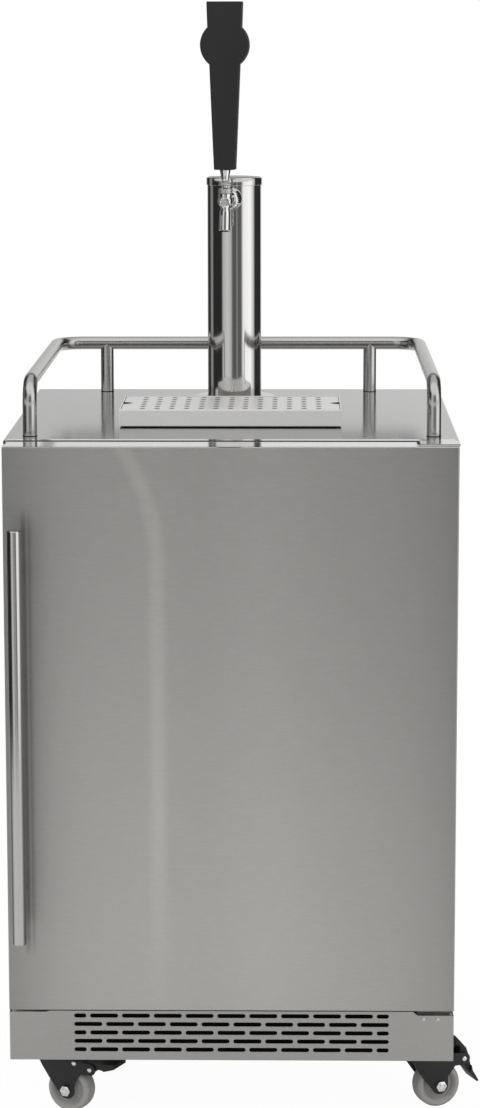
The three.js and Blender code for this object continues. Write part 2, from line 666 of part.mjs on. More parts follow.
// Kick panel: folded sheet with staggered rows of round-ended slots and notched top corners.
function makeKickPanel() {
  const half = cabinetHalf;
  const notchX = half - HINGE_NOTCH_WIDTH;
  const notched = kickTop - HINGE_NOTCH_DEPTH;
  const eased = kickTop - PLAIN_NOTCH_DEPTH;
  const face = outline([
    [-half, kickBottom],
    [half, kickBottom],
    [half, notched],
    [notchX, notched],
    [notchX - NOTCH_SLANT, kickTop],
    [-notchX + NOTCH_SLANT, kickTop],
    [-notchX, eased],
    [-half, eased],
  ]);
  const rowHalf = (SLOTS_PER_ROW * SLOT_LENGTH + (SLOTS_PER_ROW - 1) * SLOT_GAP) / 2;
  const shortLength = (SLOT_LENGTH - SLOT_GAP) / 2;
  const sheet = KICK_SHEET;
  const slot = (x0, x1, z) => {
    const radius = SLOT_HEIGHT / 2;
    const points = [];
    for (let corner = 0; corner < 3; corner += 1) {
      const angle = (halfTurn * corner) / 2;
      points.push([x0 + radius - radius * Math.sin(angle), z + radius * Math.cos(angle)]);
    }
    for (let corner = 0; corner < 3; corner += 1) {
      const angle = (halfTurn * corner) / 2;
      points.push([x1 - radius + radius * Math.sin(angle), z - radius * Math.cos(angle)]);
    }
    return frontal(outline(points), -CUT_OVERRUN, sheet + CUT_OVERRUN);
  };
  const slots = [];
  for (let row = 0; row < SLOT_ROWS; row += 1) {
    const z = kickTop - SLOT_TOP_MARGIN - row * SLOT_ROW_PITCH;
    const staggered = row % 2 === 0;
    const count = staggered ? SLOTS_PER_ROW + 1 : SLOTS_PER_ROW;
    let x = -rowHalf;
    for (let index = 0; index < count; index += 1) {
      const length = staggered && (index === 0 || index === count - 1) ? shortLength : SLOT_LENGTH;
      slots.push(slot(x, x + length, z));
      x += length + SLOT_GAP;
    }
  }
  const plate = cut(frontal(face, 0, sheet), ...slots);
  const tabX = KICK_TAB_SPACING / 2;
  const tabTop = panTop + KICK_TAB_HEIGHT;
  const tabHalf = KICK_TAB_WIDTH / 2;
  const tab = (x) =>
    box(x - tabHalf, x + tabHalf, sheet / 2, cabinetFront - SEAT_GAP, panUnderside, tabTop);
  const panel = joined(
    plate,
    box(-half, -half + sheet, 0, KICK_SIDE_RETURN, kickBottom, eased),
    box(half - sheet, half, 0, KICK_SIDE_RETURN, kickBottom, notched),
    box(-half, half, 0, KICK_FLANGE, kickBottom, kickBottom + sheet),
    tab(-tabX),
    tab(tabX),
  );
  return piece("kick_panel", panel, brushedSteel);
}

// Guard rail: one bent tube from foot to foot, with two posts under its rear run.
function makeGuardRail() {
  const radius = RAIL_DIAMETER / 2;
  const x = WORKTOP_WIDTH / 2 - RAIL_SIDE_INSET;
  const frontY = cabinetFront + RAIL_FRONT_INSET;
  const rearY = cabinetFront + WORKTOP_DEPTH - RAIL_REAR_INSET;
  const foot = worktopTop + SEAT_GAP;
  const centre = worktopTop + RAIL_HEIGHT - radius;
  const corners = [
    [-x, frontY, foot],
    [-x, frontY, centre],
    [-x, rearY, centre],
    [x, rearY, centre],
    [x, frontY, centre],
    [x, frontY, foot],
  ];
  const postX = RAIL_POST_SPACING / 2;
  const rail = joined(
    bentTube(corners, radius, RAIL_BEND_RADIUS, 10, 4),
    rodZ(radius, foot, centre, 10, -postX, rearY),
    rodZ(radius, foot, centre, 10, postX, rearY),
  );
  return piece("guard_rail", rail, polishedSteel);
}

// Tower: flange, column and cap, standing over the worktop's hole.
function makeTower() {
  const radius = TOWER_DIAMETER / 2;
  const base = worktopTop + SEAT_GAP;
  const flangeTop = worktopTop + FLANGE_HEIGHT;
  const rim = FLANGE_DIAMETER / 2;
  const shoulder = FLANGE_HEIGHT * 0.2;
  const seat = base + FLANGE_FLOOR;
  const flange = turned(
    [
      [LINE_HOLE_RADIUS, base],
      [rim, base],
      [rim, flangeTop - 2 * shoulder],
      [rim - shoulder * 0.6, flangeTop - shoulder * 0.6],
      [rim - 2 * shoulder, flangeTop],
      [radius + SEAT_GAP, flangeTop],
      [radius + SEAT_GAP, seat],
      [LINE_HOLE_RADIUS, seat],
      [LINE_HOLE_RADIUS, base],
    ],
    TOWER_SIDES,
    TOWER_X,
    towerY,
  );
  const top = worktopTop + TOWER_HEIGHT;
  const columnTop = top - CAP_DOME - CAP_WALL - SEAT_GAP;
  const shell = cut(
    rodZ(radius, seat + SEAT_GAP, columnTop, TOWER_SIDES, TOWER_X, towerY),
    rodZ(radius - TOWER_WALL, seat - CUT_OVERRUN, columnTop + CUT_OVERRUN, TOWER_SIDES, TOWER_X, towerY),
  );
  const inside = radius + SEAT_GAP;
  const outside = inside + CAP_WALL;
  const capBottom = top - CAP_DOME - CAP_SKIRT;
  const cap = turned(
    [
      [0, columnTop + SEAT_GAP],
      [inside, columnTop + SEAT_GAP],
      [inside, capBottom],
      [outside, capBottom],
      [outside, top - CAP_DOME],
      [outside - CAP_WALL, top - CAP_DOME * 0.6],
      [outside / 2, top - CAP_DOME * 0.15],
      [0, top],
    ],
    TOWER_SIDES,
    TOWER_X,
    towerY,
  );
  const portRadius = SHANK_RADIUS + SEAT_GAP;
  const port = new THREE.CylinderGeometry(portRadius, portRadius, TOWER_DIAMETER, FAUCET_SIDES);
  port.translate(0, -radius, 0).rotateZ(THREE.MathUtils.degToRad(TOWER_TURN_DEGREES));
  port.translate(TOWER_X, towerY, faucetZ);
  const column = piece("tower_column", cut(shell, solid(port)), polishedSteel);
  const flangePiece = piece("tower_flange", flange, polishedSteel);
  return [column, flangePiece, piece("tower_cap", cap, polishedSteel)];
}

// Faucet stations, measured forward from the tower's axis
const columnFace = TOWER_DIAMETER / 2 + SEAT_GAP;
const collarFront = columnFace + SHANK_COLLAR_LENGTH;
const shankFront = collarFront + SHANK_THREAD;
const tailStart = shankFront + SEAT_GAP;
const nutStart = collarFront + SEAT_GAP;
const nutFront = nutStart + FAUCET_NUT_LENGTH;
const tailEnd = tailStart + FAUCET_TAIL_LENGTH;
const barrelTop = FAUCET_BARREL_RISE;
const socketRadius = BALL_RADIUS + SEAT_GAP;

// Shank: hose tail and lock nut inside the column, bell collar outside, thread for the coupling nut.
function makeShank() {
  return turnedForward(
    [
      [0, shankTailEnd],
      [SHANK_TAIL_RADIUS, shankTailEnd],
      [SHANK_TAIL_RADIUS, locknutBack],
      [SHANK_LOCKNUT_RADIUS, locknutBack],
      [SHANK_LOCKNUT_RADIUS, locknutFront],
      [SHANK_RADIUS, locknutFront],
      [SHANK_RADIUS, columnFace],
      [SHANK_COLLAR_RADIUS, columnFace],
      [SHANK_COLLAR_RADIUS, columnFace + SHANK_COLLAR_LENGTH * 0.4],
      [SHANK_COLLAR_RADIUS * 0.76, collarFront],
      [SHANK_RADIUS, collarFront],
      [SHANK_RADIUS, shankFront],
      [0, shankFront],
    ],
    FAUCET_SIDES,
  );
}

// Coupling nut over the shank's thread and the faucet's tail.
function makeCouplingNut() {
  const bore = SHANK_RADIUS + SEAT_GAP;
  const neckBore = FAUCET_NECK_RADIUS + SEAT_GAP;
  const lip = tailEnd + SEAT_GAP;
  const chamfer = FAUCET_NUT_RADIUS * 0.1;
  return turnedForward(
    [
      [bore, nutStart],
      [FAUCET_NUT_RADIUS - chamfer, nutStart],
      [FAUCET_NUT_RADIUS, nutStart + chamfer],
      [FAUCET_NUT_RADIUS, Math.max(nutFront, lip) - chamfer],
      [FAUCET_NUT_RADIUS - chamfer, Math.max(nutFront, lip) + chamfer],
      [neckBore, Math.max(nutFront, lip) + chamfer],
      [neckBore, lip],
      [bore, lip],
      [bore, nutStart],
    ],
    FAUCET_SIDES,
  );
}

// Faucet body about its own axis: tail, neck, barrel, front plug and raked spout, bored for the plunger.
function makeFaucetBody() {
  const reach = FAUCET_REACH;
  const radius = FAUCET_BARREL_RADIUS;
  const tail = turnedForward(
    [
      [0, tailStart],
      [SHANK_RADIUS, tailStart],
      [SHANK_RADIUS, tailEnd],
      [FAUCET_NECK_RADIUS, tailEnd],
      [FAUCET_NECK_RADIUS, reach - radius * 0.9],
      [radius, reach - radius * 0.6],
      [radius, reach + radius * 0.35],
      [FAUCET_PLUG_RADIUS * 1.15, reach + radius * 0.95],
      [FAUCET_PLUG_RADIUS, reach + radius],
      [FAUCET_PLUG_RADIUS, reach + FAUCET_PLUG_REACH],
      [0, reach + FAUCET_PLUG_REACH],
    ],
    FAUCET_SIDES,
  );
  const neck = rodZ(radius * 0.94, -radius * 0.4, barrelTop, FAUCET_SIDES, 0, -reach);
  const seat = rodZ(radius + SEAT_GAP, barrelTop, barrelTop + CUT_OVERRUN, FAUCET_SIDES, 0, -reach);
  const rake = THREE.MathUtils.degToRad(SPOUT_RAKE_DEGREES);
  const leaned = (profile) => {
    const points = profile.map(([r, drop]) => new THREE.Vector2(r, -drop));
    const geometry = new THREE.LatheGeometry(points, FAUCET_SIDES).rotateX(halfTurn / 2).rotateX(-rake);
    return solid(geometry.translate(0, -reach, 0));
  };
  const length = SPOUT_DROP / Math.cos(rake);
  const spout = leaned([
    [0, 0], [radius * 0.9, 0], [SPOUT_RADIUS, length / 2], [SPOUT_RADIUS, length], [0, length],
  ]);
  const boreEnd = length + CUT_OVERRUN;
  const spoutBore = leaned([
    [0, 0], [SPOUT_BORE_RADIUS * 0.8, 0], [SPOUT_BORE_RADIUS, boreEnd], [0, boreEnd],
  ]);
  const bore = turnedForward(
    [
      [0, tailStart - CUT_OVERRUN],
      [FAUCET_BORE_RADIUS, tailStart - CUT_OVERRUN],
      [FAUCET_BORE_RADIUS, reach + PLUNGER_BOSS_LENGTH],
      [0, reach + PLUNGER_BOSS_LENGTH],
    ],
    FAUCET_SIDES,
  );
  const socketFloor = PIVOT_RISE - BALL_RADIUS - SEAT_GAP;
  const socket = rodZ(socketRadius, socketFloor, barrelTop + CUT_OVERRUN, FAUCET_SIDES, 0, -reach);
  const swing = LEVER_TIP_DROP * 0.5;
  const slotHalf = PLUNGER_SLOT_WIDTH / 2;
  const passage = box(-slotHalf, slotHalf, -reach - swing, -reach + swing, 0, barrelTop);
  return cut(joined(tail, neck, spout), spoutBore, bore, seat, socket, passage);
}

// Bonnet: the knurled ring that holds the lever's ball in its socket.
function makeBonnet() {
  const top = PIVOT_RISE + BONNET_TOP_RISE;
  const bottom = barrelTop + SEAT_GAP;
  const points = [
    [socketRadius, bottom],
    [BONNET_RADIUS, bottom],
    [BONNET_RADIUS, top - BONNET_CHAMFER],
    [BONNET_RADIUS - BONNET_CHAMFER, top],
    [socketRadius, top],
    [socketRadius, bottom],
  ];
  return turned(points, FAUCET_SIDES, 0, -FAUCET_REACH);
}

// Lever about its pivot: tip, ball, neck and the collar that the handle screws down to.
function makeLever() {
  const ball = [];
  const steps = 6;
  const tipAngle = Math.asin(LEVER_TIP_RADIUS / BALL_RADIUS);
  const neckAngle = halfTurn - Math.asin(LEVER_NECK_RADIUS / BALL_RADIUS);
  for (let step = 0; step <= steps; step += 1) {
    const angle = tipAngle + ((neckAngle - tipAngle) * step) / steps;
    ball.push([BALL_RADIUS * Math.sin(angle), -BALL_RADIUS * Math.cos(angle)]);
  }
  const collarTop = COLLAR_RISE + COLLAR_HEIGHT;
  return turned(
    [
      [0, -LEVER_TIP_DROP],
      [LEVER_TIP_RADIUS, -LEVER_TIP_DROP],
      ...ball,
      [LEVER_NECK_RADIUS, COLLAR_RISE],
      [COLLAR_RADIUS, COLLAR_RISE],
      [COLLAR_RADIUS, collarTop],
      [0, collarTop],
    ],
    FAUCET_SIDES,
  );
}
const ferruleBase = COLLAR_RISE + COLLAR_HEIGHT + SEAT_GAP;
const ferruleTop = ferruleBase + FERRULE_HEIGHT;
const handleBase = ferruleTop + SEAT_GAP;

// Tap handle: a flat paddle that widens upward, with a disc near its top.
function makeTapHandle() {
  const discRadius = TAP_HANDLE_DISC_DIAMETER / 2;
  const top = handleBase + TAP_HANDLE_HEIGHT;
  const discZ = top - TAP_HANDLE_DISC_TOP_DROP;
  const neckHalf = TAP_HANDLE_NECK_WIDTH / 2;
  const topHalf = TAP_HANDLE_TOP_WIDTH / 2;
  const shoulderHalf = topHalf * 0.95;
  const low = -Math.acos(neckHalf / discRadius);
  const high = Math.acos(shoulderHalf / discRadius);
  const edge = TAP_HANDLE_EDGE;
  const shape = new THREE.Shape();
  shape.moveTo(-TAP_HANDLE_BASE_WIDTH / 2 + edge, handleBase);
  shape.lineTo(TAP_HANDLE_BASE_WIDTH / 2 - edge, handleBase);
  shape.lineTo(TAP_HANDLE_BASE_WIDTH / 2, handleBase + edge);
  shape.absarc(0, discZ, discRadius, low, high);
  shape.lineTo(topHalf, top);
  shape.lineTo(-topHalf, top);
  shape.absarc(0, discZ, discRadius, halfTurn - high, halfTurn - low);
  shape.lineTo(-TAP_HANDLE_BASE_WIDTH / 2, handleBase + edge);
  const half = TAP_HANDLE_THICKNESS / 2;
  return frontal(shape, -half, half, edge);
}

// Plunger: a rod with a slotted boss round the lever's tip and a head at its rear seat.
function makePlunger() {
  const front = FAUCET_REACH + PLUNGER_BOSS_LENGTH / 2;
  const back = FAUCET_REACH - PLUNGER_BOSS_LENGTH / 2;
  const headFront = nutFront + PLUNGER_TRAVEL;
  const rod = turnedForward(
    [
      [0, headFront - PLUNGER_HEAD_LENGTH],
      [PLUNGER_HEAD_RADIUS, headFront - PLUNGER_HEAD_LENGTH],
      [PLUNGER_HEAD_RADIUS, headFront],
      [PLUNGER_RADIUS, headFront],
      [PLUNGER_RADIUS, back],
      [PLUNGER_BOSS_RADIUS, back],
      [PLUNGER_BOSS_RADIUS, front],
      [0, front],
    ],
    FAUCET_SIDES,
  );
  const halfLength = PLUNGER_SLOT_LENGTH / 2;
  const halfWidth = PLUNGER_SLOT_WIDTH / 2;
  const reach = FAUCET_REACH;
  const boss = PLUNGER_BOSS_RADIUS * 2;
  return cut(rod, box(-halfWidth, halfWidth, -reach - halfLength, -reach + halfLength, -boss, boss));
}

// Tower group with the faucet turned a little from the cabinet's front.
function makeFaucet() {
  const group = pivot("faucet", cabinet, TOWER_X, towerY, faucetZ);
  group.rotation.z = THREE.MathUtils.degToRad(TOWER_TURN_DEGREES);
  group.add(piece("beer_shank", makeShank(), chrome));
  group.add(piece("faucet_nut", makeCouplingNut(), chrome));
  group.add(piece("faucet_body", makeFaucetBody(), chrome));
  group.add(piece("faucet_bonnet", makeBonnet(), chrome));
  const plunger = pivot("plunger", group, 0, 0, 0);
  plunger.add(piece("faucet_plunger", makePlunger(), chrome));
  const lever = pivot("tap", group, 0, -FAUCET_REACH, PIVOT_RISE);
  lever.add(piece("faucet_lever", makeLever(), chrome));
  const ferrule = [
    [0, ferruleBase], [FERRULE_BASE_RADIUS, ferruleBase], [FERRULE_TOP_RADIUS, ferruleTop], [0, ferruleTop],
  ];
  lever.add(piece("tap_ferrule", turned(ferrule, FAUCET_SIDES), chrome));
  lever.add(piece("tap_handle", makeTapHandle(), blackPlastic));
}

// Door: steel shell, foam, liner with a pressed recess, gasket and bar handle, on a hinge pin.
function makeDoor() {
  const group = pivot("door", cabinet, hingeX, hingeY, 0);
  const edge = DOOR_EDGE_RADIUS;
  const sheet = DOOR_SHEET;
  const past = DOOR_SHELL_DEPTH + edge;
  const block = frontal(rectangle(-doorHalf, doorHalf, doorBottom, doorTop), 0, past, edge);
  const hollow = box(
    -doorHalf + sheet, doorHalf - sheet, sheet, past + edge, doorBottom + sheet, doorTop - sheet,
  );
  const trim = box(
    -doorHalf - edge, doorHalf + edge, DOOR_SHELL_DEPTH, past + edge, doorBottom - edge, doorTop + edge,
  );
  const pinDepth = HINGE_PIN_LENGTH + CUT_OVERRUN;
  const pinHole = HINGE_PIN_RADIUS + 1.5 * SEAT_GAP;
  const pinHoles = joined(
    rodZ(pinHole, doorBottom - CUT_OVERRUN, doorBottom + pinDepth, 12, hingeX, hingeY),
    rodZ(pinHole, doorTop - pinDepth, doorTop + CUT_OVERRUN, 12, hingeX, hingeY),
  );
  const shell = piece("door_panel", cut(block, hollow, trim, pinHoles), brushedSteel);

  const inset = sheet + SEAT_GAP;
  const linerFront = DOOR_SHELL_DEPTH + SEAT_GAP;
  const tubHalf = linerHalf - DOOR_RECESS_MARGIN;
  const tubLow = linerFloor + DOOR_RECESS_MARGIN;
  const tubHigh = linerCeiling - DOOR_RECESS_MARGIN;
  const tubFront = DOOR_THICKNESS - DOOR_RECESS_DEPTH - DOOR_LINER_WALL;
  const foamBack = tubFront - SEAT_GAP;
  const core = box(-doorHalf + inset, doorHalf - inset, inset, foamBack, doorBottom + inset, doorTop - inset);
  const frame = cut(
    box(
      -doorHalf + inset, doorHalf - inset, foamBack - sheet, DOOR_SHELL_DEPTH, doorBottom + inset,
      doorTop - inset,
    ),
    box(
      -tubHalf - SEAT_GAP, tubHalf + SEAT_GAP, foamBack - CUT_OVERRUN, past, tubLow - SEAT_GAP,
      tubHigh + SEAT_GAP,
    ),
  );
  const foamPiece = piece("door_foam", cut(joined(core, frame), pinHoles), foam);

  const wall = DOOR_LINER_WALL;
  const ringHalf = linerHalf - GASKET_LAP + GASKET_WIDTH;
  const tub = cut(
    joined(
      box(
        -doorHalf + inset, doorHalf - inset, linerFront, DOOR_THICKNESS, doorBottom + inset, doorTop - inset,
      ),
      box(-tubHalf, tubHalf, tubFront, linerFront + sheet, tubLow, tubHigh),
    ),
    box(
      -tubHalf + wall, tubHalf - wall, tubFront + wall, DOOR_THICKNESS + CUT_OVERRUN, tubLow + wall,
      tubHigh - wall,
    ),
  );
  const linerPiece = piece("door_liner", tub, whitePlastic);

  const ringLow = linerFloor + GASKET_LAP - GASKET_WIDTH;
  const ringHigh = linerCeiling - GASKET_LAP + GASKET_WIDTH;
  const gasketBack = DOOR_THICKNESS + SEAT_GAP;
  const gasketFace = cabinetFront - SEAT_GAP;
  const lipHalf = GASKET_WIDTH / 2;
  const ring = cut(
    box(-ringHalf, ringHalf, gasketBack, gasketFace, ringLow, ringHigh),
    box(
      -ringHalf + GASKET_WIDTH, ringHalf - GASKET_WIDTH, gasketBack - CUT_OVERRUN, gasketFace + CUT_OVERRUN,
      ringLow + GASKET_WIDTH, ringHigh - GASKET_WIDTH,
    ),
  );
  const waist = (grown) =>
    box(
      -ringHalf + lipHalf - grown, ringHalf - lipHalf + grown, gasketBack + GASKET_GROOVE / 2,
      gasketFace - GASKET_GROOVE, ringLow + lipHalf - grown, ringHigh - lipHalf + grown,
    );
  const groove = cut(waist(GASKET_WIDTH), waist(GASKET_WIDTH / 4));
  const gasket = piece("door_gasket", cut(ring, groove), gasketRubber);

  const barX = -doorHalf + HANDLE_EDGE_INSET;
  const barTop = doorTop - HANDLE_TOP_DROP;
  const barBottom = barTop - HANDLE_LENGTH;
  const barRadius = HANDLE_DIAMETER / 2;
  const chamfer = HANDLE_EDGE_CHAMFER;
  const postTop = barTop - HANDLE_POST_INSET;
  const postBottom = barBottom + HANDLE_POST_INSET;
  const bar = turned(
    [
      [0, barBottom],
      [barRadius - chamfer, barBottom],
      [barRadius, barBottom + chamfer],
      [barRadius, barTop - chamfer],
      [barRadius - chamfer, barTop],
      [0, barTop],
    ],
    16,
    barX,
    -HANDLE_STANDOFF,
  );
  const seatY = -HANDLE_STANDOFF + barRadius / 2;
  const socketOf = (z) => rodY(HANDLE_POST_RADIUS + SEAT_GAP, seatY - SEAT_GAP, 0, 14, barX, z);
  const postOf = (z) => rodY(HANDLE_POST_RADIUS, seatY, -SEAT_GAP, 14, barX, z);
  const barPiece = piece("handle_bar", cut(bar, socketOf(postTop), socketOf(postBottom)), polishedSteel);
  const upperPost = piece("handle_post_upper", postOf(postTop), polishedSteel);
  const lowerPost = piece("handle_post_lower", postOf(postBottom), polishedSteel);
  attachTo(group, shell, foamPiece, linerPiece, gasket, barPiece, upperPost, lowerPost);
}

// Hinge brackets: a plate over or under the door with a pin, folded to the cabinet's front.
function makeHinges() {
  const x0 = hingeX - HINGE_PLATE_LENGTH + HINGE_PLATE_OVERHANG;
  const x1 = hingeX + HINGE_PLATE_OVERHANG;
  const foldX = hingeX + HINGE_FOLD_OVERHANG;
  const foldBack = cabinetFront - SEAT_GAP;
  const foldFront = foldBack - HINGE_PLATE;
  const tongue = hingeY - HINGE_PLATE_OVERHANG;
  const topPlate = doorTop + SEAT_GAP;
  const top = joined(
    box(x0, x1, tongue, foldBack, topPlate, topPlate + HINGE_PLATE),
    box(x0, foldX, foldFront, foldBack, topPlate - HINGE_FLANGE_DROP, topPlate + HINGE_PLATE),
    rodZ(HINGE_PIN_RADIUS, doorTop - HINGE_PIN_LENGTH, topPlate + HINGE_PLATE / 2, 12, hingeX, hingeY),
  );
  const washerTop = doorBottom - SEAT_GAP;
  const bottomPlate = washerTop - HINGE_WASHER;
  const bottomInner = cabinetHalf - HINGE_NOTCH_WIDTH + SEAT_GAP;
  const bottomOuter = cabinetHalf;
  const bottom = joined(
    box(bottomInner, bottomOuter, tongue, foldBack, bottomPlate - HINGE_PLATE, bottomPlate),
    box(bottomInner, bottomOuter, foldFront, foldBack, bottomPlate - HINGE_FLANGE_DROP, bottomPlate),
    rodZ(HINGE_PIN_RADIUS * 2, bottomPlate - HINGE_PLATE / 2, washerTop, 12, hingeX, hingeY),
    rodZ(HINGE_PIN_RADIUS, bottomPlate, doorBottom + HINGE_PIN_LENGTH, 12, hingeX, hingeY),
  );
  return [piece("top_hinge", top, zinc), piece("bottom_hinge", bottom, zinc)];
}

// Drip tray on its pad, with a lift-out perforated grid.
function makeDripTray() {
  const left = TRAY_X - TRAY_WIDTH / 2;
  const right = TRAY_X + TRAY_WIDTH / 2;
  const front = cabinetFront + TRAY_FRONT_INSET;
  const rear = front + TRAY_DEPTH;
  const padBottom = worktopTop + SEAT_GAP;
  const padTop = worktopTop + TRAY_PAD_THICKNESS;
  const margin = TRAY_PAD_MARGIN;
  const pad = box(left + margin, right - margin, front + margin, rear - margin, padBottom, padTop);
  cabinet.add(piece("tray_pad", pad, blackPlastic));

  const trayBottom = padTop + SEAT_GAP;
  const trayTop = trayBottom + TRAY_HEIGHT;
  const wall = TRAY_WALL;
  const gridTop = trayTop - GRID_SHEET / 2;
  const legBottom = gridTop - GRID_SHEET - GRID_FLANGE;
  const ledgeTop = legBottom - SEAT_GAP;
  const ledge = 2 * wall;
  const tray = cut(
    box(left, right, front, rear, trayBottom, trayTop),
    box(left + wall, right - wall, front + wall, rear - wall, ledgeTop, trayTop + CUT_OVERRUN),
    box(
      left + wall + ledge, right - wall - ledge, front + wall + ledge, rear - wall - ledge,
      trayBottom + wall, trayTop,
    ),
  );
  const trayGroup = pivot("tray", cabinet, TRAY_X, front, trayBottom);
  attachTo(trayGroup, piece("drip_tray", tray, brushedSteel));

  const side = (right - left) / 2 - wall - GRID_SIDE_GAP;
  const low = front + wall + GRID_SIDE_GAP;
  const high = rear - wall - GRID_SIDE_GAP;
  const middle = (low + high) / 2;
  const hexagon = (x, y) => {
    const hole = new THREE.Shape();
    for (let corner = 0; corner < 6; corner += 1) {
      const angle = (halfTurn * (corner + 0.5)) / 3;
      const [u, v] = [x + GRID_HOLE_RADIUS * Math.cos(angle), y + GRID_HOLE_RADIUS * Math.sin(angle)];
      if (corner === 0) hole.moveTo(u, v);
      else hole.lineTo(u, v);
    }
    return upright(hole, gridTop - GRID_SHEET - CUT_OVERRUN, gridTop + CUT_OVERRUN);
  };
  const holes = [];
  for (let row = 0; row < GRID_ROWS; row += 1) {
    for (let column = 0; column < GRID_COLUMNS; column += 1) {
      const x = TRAY_X + (column - (GRID_COLUMNS - 1) / 2) * GRID_HOLE_SPACING;
      const y = middle + (row - (GRID_ROWS - 1) / 2) * GRID_ROW_SPACING;
      holes.push(hexagon(x, y));
    }
  }
  const [gridLeft, gridRight] = [TRAY_X - side, TRAY_X + side];
  const plate = cut(box(gridLeft, gridRight, low, high, gridTop - GRID_SHEET, gridTop), ...holes);
  const flange = cut(
    box(gridLeft, gridRight, low, high, legBottom, gridTop - GRID_SHEET / 2),
    box(
      gridLeft + GRID_SHEET, gridRight - GRID_SHEET, low + GRID_SHEET, high - GRID_SHEET, legBottom - wall,
      gridTop,
    ),
  );
  const notchHalf = GRID_NOTCH_WIDTH / 2;
  const notch = (end) =>
    upright(
      outline([
        [TRAY_X + end * (side + CUT_OVERRUN), middle - notchHalf],
        [TRAY_X + end * (side - GRID_NOTCH_LENGTH), middle],
        [TRAY_X + end * (side + CUT_OVERRUN), middle + notchHalf],
      ]),
      gridTop - GRID_FLANGE / 2,
      gridTop + CUT_OVERRUN,
    );
  const gridGroup = pivot("grid", trayGroup, 0, 0, 0);
  attachTo(gridGroup, piece("drip_grid", cut(joined(plate, flange), notch(-1), notch(1)), brushedSteel));
}

// Caster outlines: shares of the trail along it and of the crown's height up it.
const forkLeftShares = [[-0.69, 1], [-0.69, 0.86], [-0.38, 0.83], [-0.12, 0.71], [0.16, 0.49]];
const plainForkRightShares = [[1.42, 0.45], [1.3, 0.78], [0.69, 1]];
const wheelHubShare = 0.42;
const wheelProfileShares = [[0.76, 0.5], [0.92, 0.5], [1, 0.38]];
// The pedal about its pin, as shares of its reach: ear, notch, hub, blade.
const pedalEarShares = [
  [-0.3, 0.83], [-0.37, 0.78], [-0.3, 0.53], [-0.12, 0.42], [-0.16, 0.12], [-0.15, -0.12],
];
const pedalBladeShares = [
  [0.12, -0.24], [0.16, -0.46], [0.47, -0.88], [0.54, -0.84], [0.31, -0.45], [0.24, -0.1],
];
const pedalTopShares = [[0.18, 0.15], [0.1, 0.37]];
const padShares = [[0.27, -0.25], [0.31, -0.45], [0.54, -0.84], [0.47, -0.88], [0.2, -0.5]];

